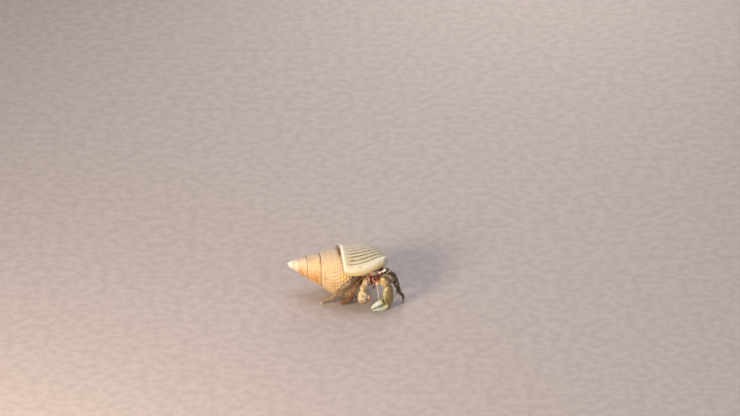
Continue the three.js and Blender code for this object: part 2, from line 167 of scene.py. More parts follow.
def stored(made, label, value, form="FLOAT", domain="POINT"):
    return put(made.tree, "GeometryNodeStoreNamedAttribute",
               {"Geometry": made, "Name": label, "Value": value},
               data_type=form, domain=domain)


def carried(tree, label, form="FLOAT"):
    return put(tree, "GeometryNodeInputNamedAttribute", {"Name": label}, data_type=form)


def closeTree(made, material, result):  # one plain mesh in one material
    made = put(made.tree, "GeometryNodeRealizeInstances", {"Geometry": made})
    made = put(made.tree, "GeometryNodeSetMaterial", {"Geometry": made, "Material": material})
    made.to(result.inputs["Geometry"])


def settle(obj, tree, values):
    # runs a geometry tree on an object with these inputs, and keeps the result as its plain mesh
    modifier = obj.modifiers.new(tree.name, "NODES")
    modifier.node_group = tree
    named = {item.name: item.identifier for item in tree.interface.items_tree if item.in_out == "INPUT"}
    for label, value in values.items():
        modifier[named[label]] = value
    bpy.context.view_layer.update()
    made = bpy.data.meshes.new_from_object(obj.evaluated_get(bpy.context.evaluated_depsgraph_get()))
    obj.modifiers.clear()
    obj.data = made


def newMesh(name, points=(), edges=(), faces=()):
    mesh = bpy.data.meshes.new(name)
    mesh.from_pydata(points, edges, faces)
    return mesh


def newObject(name, data):
    obj = bpy.data.objects.new(name, data)
    bpy.context.scene.collection.objects.link(obj)
    return obj


def addMark(mesh, label, values):  # a number or a vector for each of the mesh's points
    vectors = hasattr(values[0], "__len__")
    store = mesh.attributes.new(label, "FLOAT_VECTOR" if vectors else "FLOAT", "POINT")
    if vectors:
        store.data.foreach_set("vector", [part for value in values for part in value])
    else:
        store.data.foreach_set("value", values)


def finishPiece(obj, nodes):
    for vertex in obj.data.vertices:
        vertex.co.z = max(vertex.co.z, 0.0)
    obj.data.shade_smooth()
    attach(obj, "root")
    if nodes:
        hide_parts(*nodes)


# Camera, floor and lights

camera = {"target": (7.12, 56.5, 0.0), "object": (0.53, 7.77, 7.36), "distance": 1069.0,
          "elevation": 30.0, "lens": 200.0, "sensor": 36.0, "nearClip": 50.0}
lamps = {  # place in mm from the crab, size in mm, watts, colour
    "key": ((-170, -200, 120), 90, 0.9, "#ffe9cf"),
    "fill": ((190, -160, 120), 240, 0.17, "#dfe6f2"),
    "sky": ((20, 60, 300), 300, 0.55, "#dfe4ee"),
    "back": ((60, 220, 120), 160, 0.2, "#f6efe6"),
}
studio = {"colour": "#e4e2e0", "strength": 0.3}
floorLook = {"size": 6000.0, "colour": "#b6aaa7", "speckle": "#ada19e", "speckled": (0.35, 0.65),
             "grain": 2.5,
             "roughness": 0.9}


def aim(obj, place, target):
    obj.location = place
    obj.rotation_mode = "QUATERNION"
    obj.rotation_quaternion = (target - place).to_track_quat("-Z", "Y")


def makeCamera(c):
    data = bpy.data.cameras.new("camera")
    data.lens, data.sensor_width, data.clip_start = c["lens"], c["sensor"], c["nearClip"] * mm
    tilt = math.radians(c["elevation"])
    away = Vector((0, -math.cos(tilt), math.sin(tilt))) * c["distance"] * mm
    obj = newObject("camera", data)
    aim(obj, toModel(c["object"]) + away, toModel(c["target"]))
    bpy.context.scene.camera = obj


def makeLights():
    for name, (spot, size, power, tint) in lamps.items():
        data = bpy.data.lights.new(name, "AREA")
        data.shape, data.size, data.energy = "DISK", size * mm, power
        data.color = colour(tint)[:3]
        aim(newObject(name, data), Vector(spot) * mm, Vector())
    world = bpy.data.worlds.new("studio")
    world.use_nodes = True
    backdrop = world.node_tree.nodes["Background"].inputs
    backdrop["Color"].default_value = colour(studio["colour"])
    backdrop["Strength"].default_value = studio["strength"]
    bpy.context.scene.world = world


def makeFloor(f):
    half = f["size"] / 2 * mm
    mesh = newMesh("floor", [(-half, -half, 0), (half, -half, 0), (half, half, 0), (-half, half, 0)],
                   faces=[(0, 1, 2, 3)])
    material, tree, shader = newMaterial("floorPaper", f["colour"], f["roughness"])
    grain = noiseOf(objectPlace(tree, f["grain"]), 1.0, 4.0).between(*f["speckled"])
    blend(grain, colour(f["colour"]), colour(f["speckle"])).to(shader.inputs["Base Color"])
    mesh.materials.append(material)
    newObject("floor", mesh)


# Materials

def newMaterial(name, base, roughness, coat=(0.0, 0.03)):  # coat: weight and roughness of its wet layer
    material = bpy.data.materials.new(name)
    material.use_nodes = True
    material.diffuse_color = colour(base)
    shader = material.node_tree.nodes["Principled BSDF"]
    shader.inputs["Base Color"].default_value = colour(base)
    shader.inputs["Roughness"].default_value = roughness
    shader.inputs["Coat Weight"].default_value, shader.inputs["Coat Roughness"].default_value = coat
    return material, material.node_tree, shader


def objectPlace(tree, scale):  # object coordinates, in units of scale millimetres
    return scaled(put(tree, "ShaderNodeTexCoord", output="Object"), 1000.0 / scale)


def blend(factor, a, b):  # of two colours
    return put(factor.tree, "ShaderNodeMix", {0: factor, 6: a, 7: b}, output=2, data_type="RGBA")


def attribute(tree, name):  # a float that the piece's mesh carries
    return put(tree, "ShaderNodeAttribute", output="Fac", attribute_name=name)


def ramp(value, stops):
    made = put(value.tree, "ShaderNodeValToRGB", {0: value})
    elements = made.socket.node.color_ramp.elements
    while len(elements) < len(stops):
        elements.new(0.5)
    for element, (place, tint) in zip(elements, stops):
        element.position, element.color = place, colour(tint)
    return made


def raiseGrain(shader, height, depth, strength):  # bump from a height, depth in millimetres
    grain = put(height.tree, "ShaderNodeBump",
                {"Height": height, "Distance": depth * mm, "Strength": strength})
    grain.to(shader.inputs["Normal"])


def makeMottle():
    # soft patches and fine specks over a ground colour, with the height of its grain
    tree, given, result = treeOf(
        "mottle", "ShaderNodeTree",
        {"Vector": ["Place"], "Color": ["Ground", "Patch", "Speck"],
         "Float": ["Patch Size", "Patch Amount", "Speck Size", "Speck Amount"]},
        {"Color": ["Color"], "Float": ["Height", "Roughness"]})
    patchScale, speckScale = (1.0 / given[size].math("MAXIMUM", 0.001)
                              for size in ("Patch Size", "Speck Size"))
    patches = noiseOf(given["Place"], patchScale, 3.0, 0.55, 0.4)
    specks = noiseOf(given["Place"], speckScale, 2.0, 0.7)
    patched = blend(patches.between(0.42, 0.62) * given["Patch Amount"], given["Ground"], given["Patch"])
    speckled = blend(specks.between(0.58, 0.72) * given["Speck Amount"], patched, given["Speck"])
    speckled.to(result.inputs["Color"])
    (patches * 0.35 + specks * 0.65).to(result.inputs["Height"])
    (0.9 + patches * 0.2).to(result.inputs["Roughness"])
    return tree


mottle = makeMottle()
makeCamera(camera)
bpy.context.scene.view_settings.view_transform = "Standard"
makeLights()
makeFloor(floorLook)
print("camera, lights and floor are in place")


# Skins drawn as tubes along bent paths

def curveThrough(points, fractions):  # place and direction at each fraction of the curve's length
    p = [Vector(q) for q in points]
    p = [p[0] * 2 - p[1]] + p + [p[-1] * 2 - p[-2]]
    dense = []
    for a, b, c, d in zip(p, p[1:], p[2:], p[3:]):
        gaps = [max((y - x).length, 1e-6) ** 0.5 for x, y in ((a, b), (b, c), (c, d))]
        rise = ((b - a) / gaps[0] - (c - a) / (gaps[0] + gaps[1]) + (c - b) / gaps[1]) * gaps[1]
        fall = ((c - b) / gaps[1] - (d - b) / (gaps[1] + gaps[2]) + (d - c) / gaps[2]) * gaps[1]
        steps = 40
        for i in range(steps + (c is p[-2])):
            t = i / steps
            dense.append(b + rise * t + (c * 3 - b * 3 - rise * 2 - fall) * t * t
                         + (b * 2 - c * 2 + rise + fall) * t ** 3)
    runs = [0.0]
    for a, b in zip(dense, dense[1:]):
        runs.append(runs[-1] + (b - a).length)
    made = []
    for fraction in fractions:
        goal = clamp(fraction) * runs[-1]
        i = 0
        while i < len(runs) - 2 and runs[i + 1] < goal:
            i += 1
        t = (goal - runs[i]) / max(runs[i + 1] - runs[i], 1e-9)
        before, after = dense[max(i - 1, 0)], dense[min(i + 2, len(dense) - 1)]
        made.append((dense[i].lerp(dense[i + 1], t), (after - before).normalized()))
    return made


def sizeAt(sizes, t):  # smooth between the listed places, never past the listed values
    i = 0
    while i < len(sizes) - 2 and sizes[i + 1][0] < t:
        i += 1
    a, b = sizes[i], sizes[i + 1]
    gap = b[0] - a[0]
    u = clamp((t - a[0]) / gap)

    def slope(j, k):
        if j <= 0 or j >= len(sizes) - 1:
            return 0.0
        left = (sizes[j][k] - sizes[j - 1][k]) / (sizes[j][0] - sizes[j - 1][0])
        right = (sizes[j + 1][k] - sizes[j][k]) / (sizes[j + 1][0] - sizes[j][0])
        return 0.0 if left * right <= 0 else 2 * left * right / (left + right)

    return [a[k] * (2 * u ** 3 - 3 * u * u + 1) + b[k] * (3 * u * u - 2 * u ** 3)
            + slope(i, k) * gap * (u ** 3 - 2 * u * u + u) + slope(i + 1, k) * gap * (u ** 3 - u * u)
            for k in (1, 2)]


def valueAt(given, t, angle):
    return given(t, angle) if callable(given) else given


def rounding(run, end):  # how far a tube's round end has opened
    return math.sqrt(max(1 - (1 - run / end) ** 2, 0.0)) if run < end else 1.0


class Skin:
    def __init__(self):
        self.points, self.faces, self.maps = [], [], []
        self.marks = {"flow": [], "tone": [], "shade": [], "run": []}

    def tube(self, path, sizes, up, rings=30, sides=24, ends=(0.06, 0.06), shape=1.0, tone=0.0, shade=0.0,
             patch=(0.0, 0.0, 1.0, 1.0)):
        # shape, tone and shade are a number or a function of the run and the angle round the tube:
        # shape swells the ring, tone and shade colour it; patch is the tube's place on the map
        up = Vector(up)
        evenly = [i / rings for i in range(rings + 1)]
        fractions = [mix(t, (1 - math.cos(math.pi * t)) / 2, 0.55) for t in evenly]
        first = len(self.points)
        for t, (place, tangent) in zip(fractions, curveThrough(path, fractions)):
            across = tangent.cross(up).normalized()
            top = across.cross(tangent)
            wide, deep = sizeAt(sizes, t)
            close = max(min(rounding(t, ends[0]), rounding(1 - t, ends[1])), 0.02)
            for j in range(sides):
                angle = 2 * math.pi * j / sides
                swell = close * valueAt(shape, t, angle)
                self.points.append(toModel(place + across * wide * swell * math.cos(angle)
                                           + top * deep * swell * math.sin(angle)))
                marks = (tangent, valueAt(tone, t, angle), valueAt(shade, t, angle), t)
                for values, value in zip(self.marks.values(), marks):
                    values.append(value)
        u0, v0, u1, v1 = patch
        for i in range(rings):
            for j in range(sides):
                k = (j + 1) % sides
                a, b = first + i * sides, first + (i + 1) * sides
                self.faces.append((a + j, a + k, b + k, b + j))
                left, right = mix(u0, u1, j / sides), mix(u0, u1, (j + 1) / sides)
                low, high = mix(v0, v1, fractions[i]), mix(v0, v1, fractions[i + 1])
                self.maps += [(left, low), (right, low), (right, high), (left, high)]
        for start, step, v in ((first, -1, v0), (first + rings * sides, 1, v1)):
            self.points.append(sum((self.points[start + j] for j in range(sides)), Vector()) / sides)
            for values in self.marks.values():
                values.append(values[start])
            for j in range(sides):
                pair = (start + j, start + (j + 1) % sides)[::step]
                spots = (mix(u0, u1, j / sides), mix(u0, u1, (j + 1) / sides))[::step]
                self.faces.append((*pair, len(self.points) - 1))
                self.maps += [(spots[0], v), (spots[1], v), (mix(u0, u1, (j + 0.5) / sides), v)]
        return self

    def strewn(self, amount):  # a density at each point, from its run, tone and shade
        return [amount(*point) for point in zip(*(self.marks[mark] for mark in ("run", "tone", "shade")))]

    def build(self, name, material=None):
        mesh = newMesh(name, self.points, faces=self.faces)
        layer = mesh.uv_layers.new(name="skinMap")
        layer.data.foreach_set("uv", [value for spot in self.maps for value in spot])
        for label, values in self.marks.items():
            addMark(mesh, label, values)
        if material:
            mesh.materials.append(material)
        return newObject(name, mesh)


# The shell

shellForm = {
    "Growth per Turn": 1.555, "Lip Suture": 15.6, "Whorl Height": 12.2, "Turns Back": 2040.0,
    "Room Depth": 249.0,
    "Lip Band": 0.32, "Lip Band Angle": 17.0, "Edge Round": 2.4, "Old Whorl Swell": 0.36,
    "Crest Flare": 0.45,
    "Rib Height": 0.24, "Rib Spacing": 9.5, "Lip Rib Spacing": 7.3, "Cord Height": 0.11, "Cords": 12.0,
}
shellGrid = {"Outer Rings": 1000, "Edge Rings": 12, "Room Rings": 66, "Ring Points": 84}
shellApex = Vector((-15.96, 10.19, 9.46))
shellAxis = Vector((0.988, -0.007, -0.152)).normalized()
towardsFront = Vector((0, -math.cos(math.radians(30)), math.sin(math.radians(30))))
radialFront = (towardsFront - shellAxis * towardsFront.dot(shellAxis)).normalized()
radialTop = radialFront.cross(shellAxis).normalized()

outerShare = 0.88  # of each ring's points, those on the outside of the whorl
oldest = 1900.0  # growth is the angle back from the lip; older turns than this are plain
# outlines of a whorl at the lip, by the ring's run: distance from the axis, and drop along it
whorlOut = [(0.0, 6.97), (0.03, 7.2), (0.09, 7.72), (0.2, 8.24), (0.4, 8.67), (0.6, 8.55), (0.76, 8.05),
            (0.9, 7.1), (0.975, 5.4), (1.0, 4.0)]
innerOut = [(0.9, 2.4, True), (0.93, 0.8, True), (0.965, 0.8, True), (0.985, 4.6, True), (1.0, 6.97, True)]
innerDrop = [(0.0, 0.0, True), (0.88, 0.0, True), (0.9, 0.3, True), (0.93, 1.6, True), (0.965, 11.5, True),
             (0.985, 11.85, True), (1.0, 12.2, True)]
room = [(0.0, 16.5, 7.1), (0.12, 18.3, 7.75), (0.33, 21.0, 7.7), (0.52, 23.4, 7.3), (0.68, 25.4, 6.5),
        (0.79, 26.6, 5.0), (0.88, 26.7, 3.1), (0.915, 25.0, 2.2), (0.945, 22.0, 2.25), (0.97, 19.6, 3.1),
        (0.985, 18.2, 5.2), (1.0, 16.5, 7.1)]
roomMiddle = (21.8, 4.9)
sculpture = [(0, 0.0), (11, 0.0), (17, 0.5), (24, 0.85), (56, 0.7), (72, 0.3), (95, 0.1), (140, 0.06),
             (210, 0.14),
             (260, 0.5), (320, 1.0), (900, 1.0), (1150, 0.75), (1450, 0.25), (1900, 0.0)]
ages = {  # growth between which a feature of the form comes in
    "fine crest": (200, 330), "cords": (110, 260), "broken ribs": (100, 240), "pitted cords": (100, 260),
    "old swell": (60, 330), "flare": (8, 45), "flare's end": (95, 150), "narrow room": (60, 260),
    "upright": (0, 90),
}


def about(along, out, angle):
    turn = math.radians(angle)
    return (shellApex + shellAxis * along + radialFront * (out * math.cos(turn))
            + radialTop * (out * math.sin(turn)))


def waves(phase, sharpness):  # rounded ridges, one for each whole number of the phase
    wave = (phase * (2 * math.pi)).math("COSINE") * 0.5 + 0.5
    return 1.0 - (1.0 - wave).math("POWER", sharpness)


def makeShellTree():
    # a grid bent into the spiral: rings run from the tip to the lip, round its edge and back inside
    tree, given, result = treeOf(
        "coiledShell", "GeometryNodeTree",
        {"Int": list(shellGrid), "Float": list(shellForm), "Vector": ["Apex", "Axis", "Front", "Top"],
         "Object": ["Pillar"], "Material": ["Material"]}, {"Geometry": ["Geometry"]})
    outer, edge = given["Outer Rings"], given["Edge Rings"]
    rings = outer + edge + given["Room Rings"]
    made = put(tree, "GeometryNodeMeshGrid",
               {"Size X": 1.0, "Size Y": 1.0, "Vertices X": rings + 1.0,
                "Vertices Y": given["Ring Points"]})
    across = put(tree, "ShaderNodeSeparateXYZ", {0: put(tree, "GeometryNodeInputPosition")})
    ring = (across + 0.5) * rings
    side = across.also("Y") + 0.5
    height = (side / outerShare).math("MINIMUM", 1.0)

    onOuter, onEdge = ring.between(0.0, outer, False), ring.between(outer, outer + edge, False)
    onRoom = ring.between(outer + edge, rings, False)
    growth = ((1.0 - onOuter).math("POWER", 1.6) * given["Turns Back"]
              - (onEdge * math.pi).math("SINE") * given["Edge Round"]
              + onRoom.math("POWER", 1.2) * given["Room Depth"])
    inside = onEdge.between(0.0, 1.0)
    scale = given["Growth per Turn"].math("POWER", growth / -360.0)
    since = {name: growth.between(*span) for name, span in ages.items()}

    lipShift = 120.0 / given["Lip Rib Spacing"] - 120.0 / given["Rib Spacing"]
    ribs = waves(growth / given["Rib Spacing"] + lipShift * (1.0 - (growth / -120.0).math("EXPONENT")), 1.7)
    cords = waves(height * given["Cords"] + 0.2, 1.6) * (since["cords"] * 0.85 + 0.15)
    crestEdge = mixed(0.05, 0.012, since["fine crest"])
    offCrest = height.between(crestEdge, crestEdge * 1.8)
    strength = profile(growth / oldest, [(age / oldest, high, True) for age, high in sculpture],
                       1.0) * offCrest
    uneven = noiseOf(put(tree, "ShaderNodeCombineXYZ", {0: growth / 13.0, 1: height * 2.2}), 1.0, 2.0)
    frontCords = height.between(0.8, 0.92)
    relief = (strength * (-0.21 + ribs * (cords * 0.45 + 0.55) * given["Rib Height"]
                          * (1.0 - frontCords * 0.6)
                          + cords * given["Cord Height"])
              + frontCords * cords * 0.05 + (uneven - 0.5) * 0.12 * offCrest)
    broken = mixed(1.0 - cords * 0.35 * uneven, 1.0 - cords * 0.72, since["broken ribs"])
    pits = strength * (1.0 - ribs) * broken + strength * (1.0 - cords) * 0.3 * since["pitted cords"]

    outRadius = profile(side, [(run * outerShare, out) for run, out in whorlOut] + innerOut, 10.0)
    onOutside = 1.0 - side.between(outerShare, outerShare + 0.01)
    belowSuture = height.between(0.0, 0.03)
    swell = (1.0 + since["old swell"] * given["Old Whorl Swell"] * (height.math("MAXIMUM", 0.15) - 0.27)
             * belowSuture * onOutside)
    lipRun = (growth / given["Lip Band Angle"]).math("MAXIMUM", 0.0).math("MINIMUM", 1.0)
    band = given["Lip Band"] * (lipRun * math.pi).math("SINE") * belowSuture
    onRim = (1.0 - height.between(0.01, 0.12)) * onOutside + side.between(0.985, 1.0, False)
    lift = given["Crest Flare"] * since["flare"] * (1.0 - since["flare's end"]) * onRim
    outerOut = scale * (outRadius * swell + (band + relief) * onOutside + lift)
    outerAlong = scale * (given["Lip Suture"] + given["Whorl Height"] * height
                          - profile(side, innerDrop, 12.2) - lift)
    leanBack = ((height - 0.1).math("MAXIMUM", 0.0) / 0.8).math("POWER", 2.0) * 37.0
    leanBack = leanBack * (1.0 - side.between(0.9, 0.975)) - 5.0

    closing = (1.0 - since["narrow room"] * 0.2) * (1.0 - onRoom.between(0.97, 1.0))
    roomAlong = profile(side, [(run, along - 15.0) for run, along, _ in room], 13.0) + 15.0 - roomMiddle[0]
    roomOut = profile(side, [(run, out) for run, _, out in room], 10.0) - roomMiddle[1]
    innerAlong = scale * (roomAlong * closing + roomMiddle[0])
    innerOutward = scale * (roomOut * closing + roomMiddle[1])
    innerLean = leanBack * (1.0 - since["upright"]) + since["upright"] * 4.0

    tipClose = ring.between(0.0, 36.0, False).math("POWER", 0.5)
    along = outerAlong + (innerAlong - outerAlong) * inside
    along = (along - scale * 17.5) * tipClose + scale * 17.5
    outward = (outerOut + (innerOutward - outerOut) * inside) * tipClose
    angle = (growth + leanBack + (innerLean - leanBack) * inside) * (math.pi / 180)

    place = given["Apex"]
    for direction, amount in (("Axis", along), ("Front", outward * angle.math("COSINE")),
                              ("Top", outward * angle.math("SINE"))):
        place = added(place, scaled(given[direction], amount))
    for label, value in (("growth", growth), ("height", height), ("pits", pits), ("inside", inside),
                         ("underCrest", side.between(0.975, 0.988, False))):
        made = stored(made, label, value)
    made = put(tree, "GeometryNodeSetPosition", {"Geometry": made, "Position": scaled(place, mm)})
    made = put(tree, "GeometryNodeMergeByDistance", {"Geometry": made, "Distance": 0.0008 * mm})
    pillar = put(tree, "GeometryNodeObjectInfo", {"Object": given["Pillar"]}, output="Geometry")
    both = put(tree, "GeometryNodeJoinGeometry", {0: pillar})
    made.to(both.socket.node.inputs[0])
    closeTree(both, given["Material"], result)
    return tree


shellLook = {
    # by growth from the lip: the brighter stops at 6 and 12 are a painted highlight along the lip band, and
    # the greyer stops at 19 and 60 are painted cool sky light on the last turn's top
    "growth": [(0, "#c9b37a"), (2, "#cfc6a6"), (6, "#dad3ba"), (12, "#ddd7c0"), (19, "#c6bb9c"),
               (60, "#b8ae9c"),
               (200, "#c9bca2"), (290, "#dcc096"), (420, "#e6c597"), (900, "#ebc795"), (1350, "#efd9b8"),
               (1800, "#f4eadb")],
    # the amber is the small turns' own tint with painted warm light on their lower side
    "lipGroove": "#7a6238", "spireGroove": "#a8845a", "crest": "#f0e4d2", "amber": "#d08e3c",
    # painted cool sky light, greyish mauve on the top of the older turns
    "mauve": "#a89a94",
    # the suture colour is a thin brown line with painted shade along the sutures, and painted shadow under
    # the crest
    "inside": "#eadcbc", "stain": "#a5834f", "suture": "#6d4522", "frontEnd": "#e6dccb",
    "callus": "#dcc170",
    "callusAt": (-0.66, -4.1, 8.7), "base": "#d8c6a6", "roughness": 0.46, "coat": (0.12, 0.3),
}
lookAges = {  # growth between which a colour comes in
    "old": (240, 320), "amber": (560, 700), "pale tip": (1050, 1300), "past the lip": (60, 110),
    "fading": (35, 70), "crest": (2, 12), "hidden suture": (340, 380), "pit": (378, 398),
    "pit's end": (420, 445),
    "flare's end": (120, 160), "callus": (150, 260),
}


def makeShellMaterial(look):
    material, tree, shader = newMaterial("shellLime", look["base"], look["roughness"], look["coat"])
    growth, height, pits, inside, underCrest = (attribute(tree, name) for name in (
        "growth", "height", "pits", "inside", "underCrest"))
    since = {name: growth.between(*span) for name, span in lookAges.items()}
    old, nearLip = since["old"], 1.0 - since["past the lip"]
    turn = growth * (math.pi / 180)
    # the upper side of each turn, where the older turns take painted cool sky light
    top = (turn - math.pi / 2).math("COSINE").between(0.1, 1.0)
    # the lower side of each turn, where the amber tint is strengthened by painted warm light
    low = (turn - math.radians(292)).math("COSINE").between(0.35, 1.0)
    near = objectPlace(tree, 1.0)
    clouds, flecks = noiseOf(near, 0.55, 4.0, 0.6), noiseOf(near, 2.2, 3.0, 0.7)
    grain = noiseOf(near, 7.0, 3.0, 0.65)
    smallTurns = (since["amber"] * 0.75 + 0.1) * (1.0 - since["pale tip"])
    # browner in the grooves and pits between ribs and cords: painted shade in the hollows
    spireGrooveShade = pits.between(0.35, 0.95) * (flecks.between(0.4, 0.62) * 0.55 + 0.25)
    lipGrooveShade = pits.between(0.25, 0.55) * flecks.between(0.32, 0.48) * height.between(0.06, 0.2)
    crest = (1.0 - height.between(0.03, 0.075)) * since["crest"]
    # the suture colour goes on as a thin brown line with painted shade along each hidden suture, painted
    # shadow in the pit behind the flared crest, and painted shadow under the crest
    sutureLineShade = height.between(0.61, 0.66) * since["hidden suture"]
    pit = height.between(0.5, 0.62) * since["pit"] * (1.0 - since["pit's end"])
    shadow = underCrest * (1.0 - since["flare's end"]) * (1.0 - inside)
    dark = sutureLineShade.math("MAXIMUM", pit).math("MAXIMUM", shadow)
    gap = put(tree, "ShaderNodeVectorMath", {0: near, 1: look["callusAt"]}, output="Value",
              operation="DISTANCE")
    tinted = ramp(growth / oldest, [(age / oldest, tint) for age, tint in look["growth"]])
    for name, mask in (
            ("mauve", top * old * 0.6), ("amber", low * old * smallTurns * clouds.between(0.3, 0.6)),
            ("stain", clouds.between(0.5, 0.68) * 0.4), ("stain", grain.between(0.54, 0.68) * 0.4),
            ("spireGroove", spireGrooveShade * (1.0 - nearLip)),
            ("lipGroove", lipGrooveShade * nearLip * (0.95 - since["fading"] * 0.45)),
            ("crest", crest * (0.9 - old * 0.6)),
            ("frontEnd", height.between(0.86, 0.97) * (1.0 - old) * 0.8),
            ("suture", dark * 0.85), ("callus", (1.0 - gap.between(0.7, 1.5)) * since["callus"] * 0.85),
            ("inside", inside)):
        tinted = blend(mask, tinted, colour(look[name]))
    tinted.to(shader.inputs["Base Color"])
    ((look["roughness"] + pits * 0.25) * (1.0 - inside * 0.4)).to(shader.inputs["Roughness"])
    lines = noiseOf(put(tree, "ShaderNodeCombineXYZ", {0: growth * 0.9, 1: height * 3.0}), 1.0, 2.0)
    raiseGrain(shader, lines * 0.5 + grain * 0.5, 0.06, 0.7)
    return material


notch = {"axisAt": 1.0, "along": 28.3, "angle": 30.0, "long": 11.0, "start": (2.2, 2.2), "end": (3.4, 2.9),
         "reach": 16}


def cutNotch(mesh, n):
    # draws the front end of the last turn back from round the siphon's way out
    start = toModel(about(n["along"], n["axisAt"], n["angle"]))
    outward = (toModel(about(n["along"], n["axisAt"] + n["long"], n["angle"])) - start).normalized()
    across = outward.cross(shellAxis).normalized()
    onPillar = mesh.attributes["pillar"].data
    for vertex in mesh.vertices:
        away = (vertex.co - start) / mm
        far = away.dot(outward)
        if onPillar[vertex.index].value > 0.5 or far < -0.5 or away.length > n["reach"]:
            continue
        wide, deep = (mix(a, b, clamp(far / n["long"])) for a, b in zip(n["start"], n["end"]))
        side, ahead = away.dot(across), away.dot(shellAxis)
        if abs(side) >= wide:
            continue
        edge = -deep * math.sqrt(1 - (side / wide) ** 2)
        if ahead > edge:
            vertex.co += shellAxis * (edge - ahead) * mm


pillarForm = {  # place along the axis and radius
    "outline": [(1.3, 0.02), (1.42, 0.3), (1.75, 0.5), (2.3, 0.62), (3.2, 0.55), (8, 0.8), (16, 1.75),
                (22, 1.75),
                (24.5, 1.2), (26.3, 0.7), (26.9, 0.35)], "rings": 90, "sides": 32, "ends": (0, 0.02)}


def makePillar(p):
    start, end = p["outline"][0][0], p["outline"][-1][0]
    sizes = [((along - start) / (end - start), out, out) for along, out in p["outline"]]
    skin = Skin().tube([about(start, 0, 0), about(end, 0, 0)], sizes, radialTop, p["rings"], p["sides"],
                       p["ends"],
                       lambda t, angle: 1 + 0.03 * math.cos(2 * (angle - t * 14)) * ease(t, 0.55, 0.7))
    runs = skin.marks["run"]
    skin.marks = {"growth": [1800.0 * (1 - ease(t, 0.0, 0.2)) for t in runs], "height": [0.5] * len(runs),
                  "inside": [ease(t, 0.2, 0.3) for t in runs], "pits": [0.0] * len(runs),
                  "pillar": [1.0] * len(runs)}
    return skin.build("pillar")


def makeShell():
    obj = newObject("seaSnailShell", newMesh("seaSnailShell"))
    pillar = makePillar(pillarForm)
    settle(obj, makeShellTree(), {
        **shellForm, **shellGrid, "Apex": tuple(shellApex - modelCentre), "Axis": tuple(shellAxis),
        "Front": tuple(radialFront), "Top": tuple(radialTop), "Pillar": pillar,
        "Material": makeShellMaterial(shellLook)})
    bpy.data.objects.remove(pillar)
    cutNotch(obj.data, notch)
    finishPiece(obj, ["shell"])
    print("shell:", len(obj.data.vertices), "points")


makeShell()


# The crab's measures

headPoint = Vector((8.2, 3.8, 9.0))
forward = Vector((0.66, -0.63, -0.41)).normalized()
leftward = Vector((0.69, 0.72, 0.0)).normalized()
dorsal = forward.cross(leftward).normalized()
sides = {"left": 1, "right": -1}


def body(ahead, out, above, side=1):
    return headPoint + forward * ahead + leftward * out * side + dorsal * above


def bodyTube(form, side=1, skin=None, **look):  # a tube whose path is measured from the head
    rest = {"up": dorsal, **form, **look}
    path = [body(*spot, side) for spot in rest.pop("path")]
    return (skin or Skin()).tube(path, **rest)


def hump(value, middle, width):  # 1 at the middle, falling away on both sides
    return math.exp(-((value - middle) / width) ** 2)


def turnFrom(angle, at):  # the difference between two angles round a tube, from -pi to pi
    return (angle - math.radians(at) + math.pi) % (2 * math.pi) - math.pi


def unevenness(t, angle, around, along, seed=0):  # from -1 to 1, coarser with smaller factors
    return noise.noise(Vector((math.cos(angle) * around, math.sin(angle) * around, t * along + seed)))


def camel(*names):
    words = "_".join(names).split("_")
    return words[0] + "".join(word.title() for word in words[1:])


# Hard plates and skins: colours laid on by the skin's tone and shade

